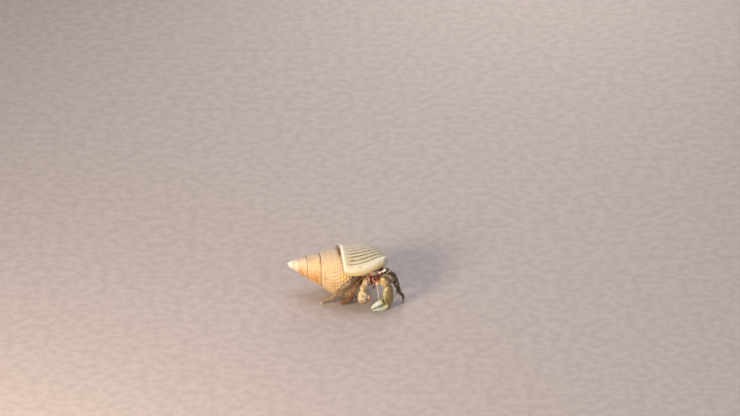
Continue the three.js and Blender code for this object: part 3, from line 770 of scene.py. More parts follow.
plate = {"patchSize": 1.5, "patchAmount": 0.6, "speckSize": 0.28, "speckAmount": 0.7, "roughness": 0.45,
         "depth": 0.09, "wet": 0.2, "joint": "#cf9a8c", "tip": "#ddd2ae"}
fineHair = {**plate, "patchSize": 0.6, "speckAmount": 0.2, "depth": 0.01, "wet": 0.1, "roughness": 0.55}
limbLooks = {  # ground, dark side, patches and specks, and what differs from a plain plate
    # on the claws and hands the dark side colour is partly their own darker side and partly painted shade
    "greatClaw": ("#e6c58a #463619 #a08148 #3d2e18", {**plate, "joint": "#d9a497", "tip": "#ccd8bf"}),
    "greatHand": ("#c6cb9d #866538 #a9a063 #6d5a34",
                  {**plate, "joint": "#b9c29a", "tip": "#c9d3c2", "patchAmount": 0.45}),
    "smallClaw": ("#dcc096 #ab8a5e #f2e0ba #74502e",
                  {**plate, "speckAmount": 1.0, "speckSize": 0.34, "patchSize": 0.9, "patchAmount": 0.9,
                   "joint": "#dfb0a0", "tip": "#cb9068"}),
    "kneePlate": ("#efcfba #cf9a86 #f4dfd0 #a8705a", plate),
    "frontLeg": ("#8a5636 #5e3822 #ac7e50 #432818", {**plate, "joint": "#a46c50", "tip": "#cda983"}),
    "sideLeg": ("#a98e62 #7c6642 #c4ad84 #5c4a2e", {**plate, "joint": "#b59ba0", "tip": "#dccfa8"}),
    "farLeg": ("#5b4b35 #3f3424 #7a6748 #2e2418", {**plate, "tip": "#a39370"}),
    "shieldPlate": ("#9a8260 #6a5238 #b9a27c #5b3d28", plate),
    "stalk": ("#e3c8bd #b98577 #f0e2da #c78f80",
              {**plate, "patchAmount": 0.4, "speckAmount": 0.3, "depth": 0.03}),
    # the pale pink specks are painted highlights, and the pale tip is the pale setae with painted wet
    # glints at the mouth legs' ends
    "mouth": ("#9c382b #6c2018 #c06253 #d98f80",
              {**plate, "tip": "#ecd8cb", "speckAmount": 0.4, "wet": 0.6}),
    "feeler": ("#a84434 #e6b4a6 #862c20 #dd9c8e", {**plate, "depth": 0.02, "patchSize": 0.8}),
    "whip": ("#a8937a #7d6a52 #bba78e #74604a", {**plate, "depth": 0.02, "patchSize": 0.8}),
    # pale, a painted wet glint along the right feeler
    "paleWhip": ("#e9ddd2 #c9b09c #d8c4b4 #b09078", {**plate, "depth": 0.02, "patchSize": 1.2}),
    "flesh": ("#d3a58c #b97a64 #e0bda6 #b06a58",
              {**plate, "joint": "#b5705e", "tip": "#6d2a1e", "speckAmount": 0.35, "roughness": 0.5,
               "depth": 0.12,
               "wet": 0.5}),
    "bristle": ("#7a4c2c #a87c50 #8f6038 #56351e", fineHair),
    "paleBristle": ("#c3a27e #e0cbb0 #ad8a64 #94704c", fineHair),
}
flesh = {"weight": 0.12, "radius": (0.0006, 0.0004, 0.0003)}  # light carried below the surface, in metres


def limbMaterial(name, tints, look):
    ground, dark, patch, speck = tints.split()
    material, tree, shader = newMaterial(name, ground, look["roughness"], (look["wet"], 0.14))
    tone, shade = attribute(tree, "tone"), attribute(tree, "shade")
    tinted = put(tree, "ShaderNodeGroup", {
        "Place": objectPlace(tree, 1.0), "Ground": blend(shade, colour(ground), colour(dark)),
        "Patch": colour(patch), "Speck": colour(speck),
        "Patch Size": look["patchSize"], "Patch Amount": look["patchAmount"],
        "Speck Size": look["speckSize"], "Speck Amount": look["speckAmount"]}, node_tree=mottle)
    (tinted.also("Roughness") * look["roughness"]).to(shader.inputs["Roughness"])
    raiseGrain(shader, tinted.also("Height"), look["depth"], 0.8)
    tinted = blend(tone.between(0.15, 0.85), tinted, colour(look["joint"]))
    tinted = blend(tone.between(1.15, 1.95), tinted, colour(look["tip"]))
    tinted.to(shader.inputs["Base Color"])
    shader.inputs["Subsurface Weight"].default_value = flesh["weight"]
    shader.inputs["Subsurface Radius"].default_value = flesh["radius"]
    return material


limbMaterials = {name: limbMaterial(name, *look) for name, look in limbLooks.items()}


# Grains and bristles scattered over a skin

patchAcross = 0.003  # of a tuft's own place on the map


def makeScatterTree():
    # places small shapes on a skin where its mark is strong, leaning along the limb, joined as one mesh
    tree, given, result = treeOf(
        "scatterOnSkin", "GeometryNodeTree",
        {"Geometry": ["Geometry"], "Object": ["Shape"], "Int": ["Seed"],
         "Float": ["Per Square mm", "Smallest", "Largest", "Stand", "Sink"], "Material": ["Material"]},
        {"Geometry": ["Geometry"]})
    perSquareMetre = carried(tree, "scatter") * given["Per Square mm"] * 1.0e6
    points = put(tree, "GeometryNodeDistributePointsOnFaces",
                 {"Mesh": given["Geometry"], "Density": perSquareMetre, "Seed": given["Seed"]})
    normal = points.also("Normal")
    chance = put(tree, "FunctionNodeRandomValue", {"Seed": given["Seed"]}, output=1, data_type="FLOAT")
    stand = scaled(normal, given["Stand"] * (chance * 0.8 + 0.6))
    spin = put(tree, "FunctionNodeRandomValue",
               {0: (0.0, 0.0, 0.0), 1: (0.0, 0.0, 6.283), "Seed": given["Seed"]},
               data_type="FLOAT_VECTOR")
    aimed = put(tree, "FunctionNodeAlignRotationToVector",
                {"Rotation": put(tree, "FunctionNodeEulerToRotation", {0: spin}),
                 "Vector": added(stand, carried(tree, "flow", "FLOAT_VECTOR"))}, axis="Z")
    shape = put(tree, "GeometryNodeObjectInfo", {"Object": given["Shape"], "As Instance": True},
                output="Geometry")
    sunk = put(tree, "GeometryNodeSetPosition",
               {"Geometry": points, "Offset": scaled(normal, given["Sink"] * -mm)})
    made = put(tree, "GeometryNodeInstanceOnPoints", {"Points": sunk, "Instance": shape, "Rotation": aimed,
                                                      "Scale": mixed(given["Smallest"], given["Largest"],
                                                                     chance)})
    made = put(tree, "GeometryNodeRealizeInstances",
               {"Geometry": stored(made, "shade", chance, domain="INSTANCE")})
    spread = scaled(carried(tree, "local", "FLOAT_VECTOR"), patchAcross)
    made = stored(made, "OFBake", added(carried(tree, "skinMap", "FLOAT_VECTOR"), spread), "FLOAT2",
                  "CORNER")
    closeTree(made, given["Material"], result)
    return tree


def onCircle(angle, radius=1.0, high=0.0):
    return Vector((radius * math.cos(angle), radius * math.sin(angle), high))


def makeShape(name, points, faces, spots):  # spots: each point's place in its tuft's patch of the map
    mesh = newMesh(name, [p * mm for p in points], faces=faces)
    addMark(mesh, "local", spots)
    return newObject(name, mesh)


def makeTuft(name, bristles, long, thick, fan, seed):  # a few bristles from one root, tips spread apart
    points, faces, spots = [], [], []
    for i in range(bristles):
        turn = 2 * math.pi * (i + 0.35 * noise.noise(Vector((seed, i, 0)))) / bristles
        reach = long * (0.75 + 0.25 * noise.noise(Vector((i, seed, 3))) + 0.1 * (i % 2))
        lean = onCircle(turn) * fan * (0.35 if i == 0 else 1.0)
        first = len(points)
        for j, t in enumerate((0.0, 0.35, 0.7)):
            middle = lean * long * t ** 1.6 + Vector((0, 0, reach * t)) + lean * thick * 2
            for k in range(3):
                angle = 2 * math.pi * k / 3
                points.append(middle + onCircle(angle) * (thick * (1 - 0.65 * t)))
                spots.append((0.3 * math.cos(turn) + 0.1 * math.cos(angle), t - 0.5, 0))
            if j:
                a, b = first + (j - 1) * 3, first + j * 3
                faces += [(a + k, a + (k + 1) % 3, b + (k + 1) % 3, b + k) for k in range(3)]
        points.append(lean * (long + thick * 2) + Vector((0, 0, reach)))
        spots.append((0.3 * math.cos(turn), 0.5, 0))
        faces += [(first + 6 + k, first + 6 + (k + 1) % 3, len(points) - 1) for k in range(3)]
        faces.append((first + 2, first + 1, first))
    obj = makeShape(name, points, faces, spots)
    addMark(obj.data, "tone", [0.0] * len(points))  # so that a bristle doesn't take the skin's tone
    return obj


def makeGrain(name, tall, around=7):  # a low rounded cone, its point towards +z
    angles = [2 * math.pi * k / around for k in range(around)]
    outline = ((0.5, -0.05), (0.42, tall * 0.5), (0.2, tall * 0.9))
    points = [Vector((0, 0, -0.3))] + [onCircle(angle, out, high) for out,
                                       high in outline for angle in angles]
    points.append(Vector((0, 0, tall)))
    faces = []
    for k in range(around):
        n = (k + 1) % around
        faces.append((0, 1 + n, 1 + k))
        for j in range(2):
            a, b = 1 + j * around, 1 + (j + 1) * around
            faces.append((a + k, a + n, b + n, b + k))
        faces.append((1 + 2 * around + k, 1 + 2 * around + n, len(points) - 1))
    return makeShape(name, points, faces, [(p.x, p.y, 0) for p in points])


scatterTree = makeScatterTree()
shapes = {
    "grain": makeGrain("grain", 0.45), "thorn": makeGrain("thorn", 1.5),
    "shortTuft": makeTuft("shortTuft", 3, 0.7, 0.05, 0.36, 1),
    "longTuft": makeTuft("longTuft", 4, 1.25, 0.052, 0.3, 2),
    "brushTuft": makeTuft("brushTuft", 4, 0.8, 0.034, 0.12, 3),
}


def dress(skin, name, look, slot, nodes, *coats):
    # a skin as one piece, and its coats, each a piece of its own. A coat is the end of its name, then
    # (shape, look, number per square mm, (smallest, largest), how far it stands up and sinks in, seed),
    # and a function that says how thickly it lies from the skin's run, tone and shade
    obj = skin.build(name, limbMaterials[look])
    for ending, (shape, coatLook, number, (smallest, largest), stand, sink, seed), amount in coats:
        coat = newObject(name.removesuffix("Skin").removesuffix("Plate") + ending, obj.data.copy())
        addMark(coat.data, "scatter", skin.strewn(amount))
        settle(coat, scatterTree, {
            "Shape": shapes[shape], "Per Square mm": number, "Seed": seed, "Smallest": smallest,
            "Largest": largest, "Stand": stand, "Sink": sink, "Material": limbMaterials[coatLook]})
        finishPiece(coat, [])
    finishPiece(obj, nodes)


# Walking legs

legSegments = {  # half width and depth near the body and far from it, and how far the back is bowed
    "base": ((0.5, 0.5), (0.5, 0.5), 0.0), "merus": ((0.5, 0.55), (0.6, 0.75), 0.22),
    "carpus": ((0.5, 0.5), (0.62, 0.7), 0.15), "propodus": ((0.58, 0.66), (0.48, 0.52), 0.18),
    "dactylus": ((0.42, 0.45), (0.25, 0.25), 0.5),
}
walkingLegs = {
    "right_leg_2": {"look": "frontLeg", "up": (-0.3, -0.7, 0.6), "bristles": 24.0, "long": (0.7, 1.25),
                    "seed": 11,
                    "joints": [(5.8, 5.0, 8.3), (5.2, 4.1, 7.7), (3.3, 1.9, 7.5), (2.5, 1.4, 5.6),
                               (1.6, 2.5, 3.0), (-0.7, 5.0, 0.1)]},
    "right_leg_3": {"look": "sideLeg", "up": (-0.5, -0.6, 0.6), "bristles": 14.0, "long": (0.5, 0.95),
                    "seed": 12,
                    "joints": [(5.0, 5.6, 8.7), (4.3, 4.8, 8.3), (1.2, 1.75, 8.05), (-0.3, 1.8, 6.75),
                               (-2.5, 2.9, 3.55), (-6.0, 5.3, 0.1)]},
    "left_leg_2": {"look": "farLeg", "up": (0.7, -0.3, 0.6), "bristles": 7.0, "long": (0.6, 1.0),
                   "seed": 13,
                   "joints": [(7.9, 5.6, 8.0), (8.9, 5.5, 7.6), (12.2, 4.6, 8.3), (13.4, 4.2, 6.7),
                              (14.4, 4.8, 3.6), (15.5, 6.7, 0.1)]},
    "left_leg_3": {"look": "farLeg", "up": (0.7, 0.3, 0.6), "bristles": 7.0, "long": (0.6, 1.0), "seed": 14,
                   "joints": [(7.3, 6.4, 8.4), (8.4, 6.7, 7.9), (11.7, 7.7, 8.1), (13.0, 8.5, 6.4),
                              (13.8, 10.0, 3.4), (13.8, 12.9, 0.1)]},
}


def segmentPath(start, end, arch, up):
    start, end = Vector(start), Vector(end)
    return [start, (start + end) / 2 + Vector(up).normalized() * arch, end]


# neck, close and flare are shares of a width
def segmentSizes(near, far, neck=0.66, close=0.78, flare=1.04):
    waist = [min(a, b) * 0.97 for a, b in zip(near, far)]
    return [(0, near[0] * neck, near[1] * neck), (0.13, *near), (0.4, *waist), (0.86, *far),
            (0.93, far[0] * flare, far[1] * flare), (1, far[0] * close, far[1] * close)]


def tipSizes(near, neck=0.66):
    return [(0, near[0] * neck, near[1] * neck), (0.1, *near), (0.5, near[0] * 0.85, near[1] * 0.85),
            (0.85, 0.24, 0.25), (1, 0.2, 0.2)]


def plateForm(seed, keel=0.1):  # a shallow keel along the back and beneath, and a slightly uneven surface
    def form(t, angle):
        ridge = keel * math.sin(angle) ** 8 * math.sin(math.pi * clamp(t))
        return 1 + ridge + 0.035 * unevenness(t, angle, 1.3, 7, seed)
    return form


def makeLeg(name, leg):
    skin = Skin()
    up, joints = leg["up"], leg["joints"]
    for i, (kind, (near, far, arch)) in enumerate(legSegments.items()):
        isTip = kind == "dactylus"
        skin.tube(segmentPath(joints[i], joints[i + 1], arch, up), tipSizes(near) if isTip
                  else segmentSizes(near, far), up, 44, 30, (0.05, 0.015 if isTip else 0.035),
                  plateForm(leg["seed"] + i), patch=(i / 5 + 0.01, 0.02, i / 5 + 0.19, 0.98),
                  shade=lambda t, angle: 0.5 + 0.5 * math.sin(angle),
                  tone=lambda t, angle: 2.0 * ease(t, 0.55, 1.0) if isTip else 0.9 * ease(t, 0.95, 1.0))
        if i:
            before, here, after = (Vector(joint) for joint in joints[i - 1:i + 2])
            a, b = (before - here).normalized(), (after - here).normalized()
            wide = [part * 0.78 for part in near]
            skin.tube([here + a * 0.5, here, here + b * 0.5], [(0, *wide), (1, *wide)], up, 10, 18,
                      (0.3, 0.3), tone=1.0, patch=(i / 5 - 0.008, 0, i / 5 + 0.008, 1))
    seed = leg["seed"]
    dress(skin, camel(name, "skin"), leg["look"], "leg", [f"{name}_{kind}" for kind in legSegments],
          ("Bristles", ("longTuft", "bristle", leg["bristles"], leg["long"], 1.0, 0.03, seed),
           lambda run, tone, shade: max(1.0 - tone * 0.7, 0.0)
           * (0.45 + 0.55 * ease(abs(shade - 0.5), 0.1, 0.45)) * ease(run, 0.02, 0.12)),
          ("Thorns", ("thorn", leg["look"], 9.0, (0.1, 0.19), 1.6, 0.01, seed + 20),
           lambda run, tone, shade: max(1.0 - tone, 0.0) * ease(abs(shade - 0.5), 0.4, 0.49)
           * ease(run, 0.05, 0.15)))


for name, leg in walkingLegs.items():
    makeLeg(name, leg)
print("walking legs")


# Claws

claws = {  # arm segments from start to end, with half widths and depths at both ends and the back's bow;
    # in a hand, cut is the angle at which a finger faces the other, ridge that of its outer edge
    "left": {
        "look": "greatClaw", "up": (0.45, 0.1, 0.9), "darkSide": -0.6, "seed": 31, "grains": 7.0,
        "base": ((7.6, 4.9, 7.6), (8.6, 4.2, 7.1), (0.7, 0.65), (0.75, 0.7), 0.0),
        "merus": ((8.5, 4.2, 7.1), (10.3, 2.8, 8.4), (0.75, 0.8), (1.0, 1.2), 0.1),
        "carpus": ((9.7, 2.8, 8.7), (12.0, 1.2, 8.0), (1.15, 1.6), (1.35, 1.75), 0.45),
        "handLook": "greatHand",
        "palm": {"path": [(11.6, 1.35, 7.6), (11.4, 1.95, 5.2), (11.35, 2.75, 2.2), (10.2, 2.2, 0.8),
                          (7.5, 1.0, 0.55)],
                 "sizes": [(0, 0.7, 0.8), (0.06, 1.05, 1.2), (0.22, 1.3, 1.5), (0.42, 1.35, 1.65),
                           (0.56, 1.15, 1.5), (0.7, 0.8, 0.95), (0.86, 0.6, 0.62), (1, 0.32, 0.32)],
                 "up": (0.3, 0.7, 0.6), "cut": 135, "ridge": 262, "from": 0.66},
        "finger": {"path": [(10.3, 1.15, 3.2), (9.0, 0.65, 2.75), (7.9, 0.6, 1.95), (7.0, 0.7, 1.15)],
                   "sizes": [(0, 0.45, 0.5), (0.12, 0.72, 0.75), (0.5, 0.66, 0.66), (0.85, 0.42, 0.42),
                             (1, 0.2, 0.2)],
                   "up": (0, 0, 1), "cut": 270, "ridge": 90, "from": 0.15}},
    "right": {
        "look": "smallClaw", "up": (-0.15, -0.8, 0.5), "darkSide": 0.5, "seed": 41, "grains": 9.0,
        "base": ((7.1, 5.0, 7.9), (6.8, 3.7, 6.5), (0.6, 0.6), (0.55, 0.6), 0.0),
        "merus": ((6.8, 3.8, 6.5), (5.9, 2.5, 9.1), (0.5, 0.6), (0.7, 0.8), 0.2), "merusLook": "kneePlate",
        "carpus": ((5.9, 2.3, 9.2), (4.95, 1.6, 6.1), (0.75, 0.75), (0.95, 0.95), 0.3),
        "handLook": "smallClaw",
        "palm": {"path": [(4.95, 1.65, 6.3), (4.85, 1.6, 4.8), (4.75, 1.8, 3.2), (5.2, 2.3, 2.1),
                          (5.9, 2.9, 1.7)],
                 "sizes": [(0, 0.55, 0.55), (0.1, 0.95, 0.8), (0.32, 1.2, 0.95), (0.56, 1.1, 0.85),
                           (0.82, 0.5, 0.45), (1, 0.2, 0.2)],
                 "up": (0, -1, 0.1), "cut": 164, "ridge": 60, "from": 0.66},
        "finger": {"path": [(5.9, 1.8, 4.5), (6.5, 2.0, 3.6), (6.5, 2.5, 2.7), (6.2, 3.0, 2.2)],
                   "sizes": [(0, 0.35, 0.35), (0.15, 0.5, 0.5), (0.6, 0.42, 0.4), (1, 0.2, 0.2)],
                   "up": (0.1, -1, 0.1), "cut": 0, "ridge": 180, "from": 0.15}},
}
handForm = {"edge": 0.75, "hollow": 0.24, "teeth": 13, "toothWidth": 0.3, "toothHeight": 0.34,
            "ridge": 0.09,
            "ridgeWidth": 0.22}


def fingeredForm(part, seed, h):
    # flat faces meet at the outer ridge, and the cutting edge is hollowed and set with blunt teeth
    def form(t, angle):
        off = turnFrom(angle, part["cut"])
        cutting = ease(t, part["from"], part["from"] + 0.12) * hump(off, 0, h["edge"])
        teeth = (0.5 + 0.5 * math.cos(2 * math.pi * t * h["teeth"] + seed)) * hump(off, 0, h["toothWidth"])
        ridge = (h["ridge"] * hump(turnFrom(angle, part["ridge"]), 0, h["ridgeWidth"])
                 * (1 - ease(t, 0.7, 0.95)) * ease(t, 0.03, 0.2))
        bite = h["toothHeight"] * teeth * (1 - ease(t, 0.9, 1.0)) - h["hollow"]
        return 1 + ridge + cutting * bite + 0.035 * unevenness(t, angle, 1.6, 6, seed)
    return form


def makeArm(side, kind, c):
    start, end, near, far, arch = c[kind]
    look = c.get(kind + "Look", c["look"])
    # shade: darker on the side set by darkSide and towards the far end, partly the claw's own darker upper
    # side and partly painted shade on the side away from the light
    skin = Skin().tube(segmentPath(start, end, arch, c["up"]), segmentSizes(near, far, 0.7, 0.66, 0.93),
                       c["up"],
                       56, 48, (0.14, 0.1), plateForm(c["seed"], 0.05),
                       shade=lambda t, angle: ease(math.sin(angle + c["darkSide"]) + t * 0.9, -0.5, 0.4),
                       tone=lambda t, angle: 0.9 * ease(t, 0.93, 1.0))
    coats = []
    if kind != "base":
        def onDarkSide(run, tone, shade):
            return max(1 - tone, 0) * ease(shade, 0.25, 0.7) * ease(run, 0.05, 0.15)
        grain = "thorn" if kind == "carpus" else "grain"
        coats = [("Grains", (grain, look, c["grains"], (0.08, 0.2), 1.4, 0.0, c["seed"] + len(kind)),
                  onDarkSide),
                 ("Bristles", ("shortTuft", "bristle", 2.2, (0.6, 1.1), 0.8, 0.03, c["seed"] + 7),
                  onDarkSide)]
    dress(skin, camel(side, "claw", kind), look, "claw", [f"{side}_claw_{kind}"], *coats)


def makeHand(side, kind, slot, c):
    part = c[kind]
    # shade: the face beyond the outer ridge is darker, partly its own brown and partly painted shade on the
    # side away from the light
    skin = Skin().tube(part["path"], part["sizes"], part["up"], 110, 56, (0.06, 0.02),
                       fingeredForm(part, c["seed"], handForm),
                       shade=lambda t, angle: ease(turnFrom(angle, part["ridge"]), -0.1, 0.25)
                       * ease(abs(turnFrom(angle, part["ridge"] + 180)), 0.2, 0.6),
                       tone=lambda t, angle: 2.0 * ease(t, part["from"] - 0.08, part["from"] + 0.2))

    def offTips(run, tone, shade):
        return max(1 - tone * 0.6, 0.1) * ease(run, 0.04, 0.12)

    look, seed = c["handLook"], c["seed"]
    dress(skin, camel(side, "claw", kind), look, slot, [f"{side}_claw_{kind}"],
          ("Grains", ("grain", look, c["grains"], (0.1, 0.24), 2.0, 0.02, seed + 3), offTips),
          ("Bristles", ("shortTuft", "paleBristle", 1.8, (0.5, 0.9), 0.7, 0.03, seed + 9), offTips))


for side, claw in claws.items():
    for kind in ("base", "merus", "carpus"):
        makeArm(side, kind, claw)
    makeHand(side, "palm", "claw", claw)
    makeHand(side, "finger", "finger", claw)
print("claws")


# Head: back plate, eyes, feelers and mouth

shieldForm = {"path": [(0.15, 0, 0.75), (-1.4, 0, 1.15), (-3.4, 0, 1.0)],
              "sizes": [(0, 0.9, 0.3), (0.1, 1.35, 0.5), (0.5, 1.7, 0.62), (0.85, 1.5, 0.55), (1, 1, 0.35)],
              "rings": 70, "sides": 64, "ends": (0.05, 0.05)}


def makeShield():
    def form(t, angle):
        beak = 0.1 * hump(turnFrom(angle, 90), 0, 0.25) * (1 - ease(t, 0.0, 0.12))
        groove = 0.05 * hump(t, 0.62 + 0.1 * abs(math.cos(angle)), 0.03) * ease(math.sin(angle), 0.1, 0.5)
        return 1 + beak - groove + 0.025 * unevenness(t, angle, 3, 9)
    skin = bodyTube(shieldForm, shape=form, shade=lambda t, angle: 0.5 - 0.5 * math.cos(angle * 2))
    dress(skin, "shieldPlate", "shieldPlate", "shield", ["shield"],
          ("Bristles", ("shortTuft", "bristle", 2.0, (0.35, 0.7), 0.5, 0.03, 51),
           lambda run, tone, shade: ease(run, 0.05, 0.2) * (1 - ease(run, 0.5, 0.8))))


eye = {
    "stalk": {"path": [(-0.1, 0.38, 0.7), (0.4, 1.2, 1.45), (0.85, 2.1, 2.35)],
              "sizes": [(0, 0.3, 0.3), (0.2, 0.34, 0.34), (0.5, 0.25, 0.25), (0.85, 0.34, 0.34),
                        (1, 0.37, 0.37)],
              "rings": 48, "sides": 32, "ends": (0.08, 0.03)},
    "cornea": {"path": [(0.78, 1.96, 2.2), (1.12, 2.68, 2.98)],
               "sizes": [(0, 0.4, 0.4), (0.5, 0.43, 0.43), (1, 0.4, 0.4)],
               "rings": 32, "sides": 32, "ends": (0.42, 0.55)},
    "scale": {"path": [(-0.1, 0.35, 0.95), (0.35, 0.5, 1.15), (0.85, 0.55, 1.2)],
              "sizes": [(0, 0.22, 0.1), (0.4, 0.26, 0.1), (0.8, 0.12, 0.07), (1, 0.03, 0.03)],
              "rings": 24, "sides": 20, "ends": (0.1, 0.05), "shade": 0.3},
}
corneaLook = {"base": "#17141a", "dark": "#121016", "light": "#4a3a38", "roughness": 0.1,
              "coat": (0.8, 0.03),
              "facet": 0.055, "facetDepth": 0.012, "patch": 0.5}


def makeCorneaMaterial(look):
    material, tree, shader = newMaterial("corneaGloss", look["base"], look["roughness"], look["coat"])
    facets = put(tree, "ShaderNodeTexVoronoi", {"Vector": objectPlace(tree, look["facet"]), "Scale": 1.0})
    patches = noiseOf(objectPlace(tree, look["patch"]), 1.0, 2.0).between(0.4, 0.65)
    blend(patches, colour(look["dark"]), colour(look["light"])).to(shader.inputs["Base Color"])
    raiseGrain(shader, facets, look["facetDepth"], 0.5)
    return material


corneaMaterial = makeCorneaMaterial(corneaLook)


def makeEye(name, side):
    stalk = bodyTube(eye["stalk"], side, shape=plateForm(60 + side, 0.03),
                     shade=lambda t, angle: 0.8 * hump(t, 0.45, 0.12) + 0.6 * hump(t, 0.0, 0.1))
    dress(stalk, camel(name, "eyestalk"), "stalk", "stalk", [f"{name}_eyestalk"],
          ("Bristles", ("shortTuft", "paleBristle", 6.0, (0.3, 0.5), 0.5, 0.02, 61),
           lambda run, tone, shade: ease(run, 0.6, 0.8) * (1 - ease(run, 0.93, 0.97))))
    ball = bodyTube(eye["cornea"], side)
    finishPiece(ball.build(camel(name, "cornea"), corneaMaterial), [f"{name}_cornea"])
    dress(bodyTube(eye["scale"], side), camel(name, "eye", "scale"), "feeler", "stalk", [])


def jointed(form, side, up=dorsal, **look):
    # a run of small segments, each narrowing into the next; tipTone colours the last one's end
    spots, widths, tipTone = [body(*spot, side)
                              for spot in form["spots"]], form["widths"], form.get("tipTone", 0.0)
    skin, count = Skin(), len(spots) - 1
    for i, (a, b) in enumerate(zip(widths, widths[1:])):
        far = mix(a, b, 0.8)
        left, right = form["across"] * i / count, form["across"] * (i + 0.9) / count
        isLast = i == count - 1
        skin.tube(spots[i:i + 2], [(0, a * 0.75, a * 0.7), (0.2, a, a * 0.92), (0.9, far, far * 0.95),
                                   (1, b * 0.8, b * 0.75)], up, 18, 18, (0.12, 0.06),
                                   patch=(left, 0.02, right, 0.98),
                  tone=(lambda t, angle: tipTone * ease(t, 0.1, 0.8)) if isLast else 0.0, **look)
    return skin


antennule = {"spots": [(0.25, 0.3, 0.1), (0.85, 0.42, -0.02), (1.4, 0.5, 0.0), (1.85, 0.57, 0.62)],
             "widths": (0.2, 0.17, 0.15, 0.12), "across": 0.5}
antennuleTips = [  # two lashes: how far ahead and above the end they reach, their sizes and looks
    {"reach": [(0.1, 0.28), (0.45, 0.35)], "sizes": [(0, 0.11, 0.1), (0.4, 0.12, 0.09), (1, 0.03, 0.03)],
     "rings": 30, "sides": 14, "shape": lambda t, angle: 1 + 0.08 * math.cos(t * 90),
     "patch": (0.55, 0, 0.75, 1)},
    {"reach": [(0.2, -0.02), (0.5, 0.05)], "sizes": [(0, 0.06, 0.06), (1, 0.025, 0.025)],
     "rings": 20, "sides": 10, "patch": (0.8, 0, 0.95, 1)},
]
antennaBase = {"spots": [(0.0, 1.1, -0.1), (0.45, 1.3, -0.12), (0.85, 1.4, -0.1), (1.65, 1.4, 0.13)],
               "widths": (0.36, 0.33, 0.3, 0.24), "across": 0.7}
antennaScale = {"path": [(0.3, 1.55, -0.05), (0.75, 1.72, 0.05), (1.25, 1.68, 0.12)],
                "sizes": [(0, 0.16, 0.12), (0.4, 0.15, 0.1), (1, 0.02, 0.02)], "rings": 22, "sides": 14,
                "ends": (0.1, 0.04), "patch": (0.75, 0, 0.95, 1), "shade": 0.6}


def makeAntennule(name, side):
    skin = jointed(antennule, side, shade=0.2)
    tip = body(*antennule["spots"][-1], side)
    for lash in antennuleTips:
        form = dict(lash)
        path = [tip] + [tip + dorsal * above + forward * ahead for ahead, above in form.pop("reach")]
        skin.tube(path, up=leftward, ends=(0.06, 0.04), shade=0.6, **form)
    dress(skin, camel(name, "antennule"), "feeler", "stalk", [f"{name}_antennule"],
          ("Brush", ("brushTuft", "paleBristle", 22.0, (0.3, 0.5), 0.8, 0.02, 71),
           lambda run, tone, shade: ease(shade, 0.5, 0.59) * ease(run, 0.25, 0.4)))


def makeAntennaBase(name, side):
    skin = bodyTube(antennaScale, side, jointed(antennaBase, side, shade=0.3))
    dress(skin, camel(name, "antenna", "base"), "feeler", "leg", [f"{name}_antenna_peduncle"],
          ("Bristles", ("shortTuft", "bristle", 5.0, (0.35, 0.6), 0.6, 0.02, 72),
           lambda run, tone, shade: ease(run, 0.1, 0.3) * 0.6))


feelers = {
    "left": {"look": "whip", "path": [(10.35, 3.75, 9.1), (11.9, 3.6, 11.0), (13.1, 3.9, 12.8),
                                      (13.5, 4.9, 14.6)]},
    # the right feeler is pale with a painted wet glint
    "right": {"look": "paleWhip", "path": [body(1.5, 1.35, 0.1, -1), (8.75, 1.1, 6.6), (8.95, 0.3, 5.2),
                                           (9.2, -1.8, 4.3)]},
}
feelerForm = {"Root Radius": 0.17, "Tip Radius": 0.055, "Rings": 62.0, "Ring Depth": 0.12}
feelerGrid = {"Steps": 372, "Sides": 12}
pathSteps = 60


def makeFeelerTree():
    # a tapering tube along a path, ringed like a string of short beads
    tree, given, result = treeOf(
        "ringedFeeler", "GeometryNodeTree",
        {"Geometry": ["Geometry"], "Float": list(feelerForm), "Int": list(feelerGrid),
         "Material": ["Material"]},
        {"Geometry": ["Geometry"]})
    line = put(tree, "GeometryNodeMeshToCurve", {"Mesh": given["Geometry"]})
    line = put(tree, "GeometryNodeResampleCurve", {"Curve": line, "Count": given["Steps"]})
    along = put(tree, "GeometryNodeSplineParameter")
    beads = (along * given["Rings"] * (2 * math.pi)).math("COSINE") * given["Ring Depth"] + 1.0
    rounded = ((1.0 - along) * 40.0).math("MINIMUM", 1.0) * (along * 60.0).math("MINIMUM", 1.0)
    taper = mixed(given["Root Radius"], given["Tip Radius"], along.math("POWER", 0.8))
    line = stored(line, "shade", beads.between(0.97, 1.1) * 0.6 + along * 0.3)
    ring = put(tree, "GeometryNodeCurvePrimitiveCircle", {"Resolution": given["Sides"], "Radius": 1.0})
    made = put(tree, "GeometryNodeCurveToMesh", {"Curve": line, "Profile Curve": ring, "Fill Caps": True,
                                                 "Scale": taper * beads * (rounded * 0.9 + 0.1) * mm})
    closeTree(made, given["Material"], result)
    return tree


feelerTree = makeFeelerTree()


def makeFeeler(name, feeler):
    runs = [i / pathSteps for i in range(pathSteps + 1)]
    spots = [toModel(place) for place, _ in curveThrough(feeler["path"], runs)]
    obj = newObject(camel(name, "feeler"), newMesh("path", spots, [(i, i + 1) for i in range(pathSteps)]))
    settle(obj, feelerTree, {**feelerForm, **feelerGrid, "Material": limbMaterials[feeler["look"]]})
    finishPiece(obj, [f"{name}_antenna_flagellum"])


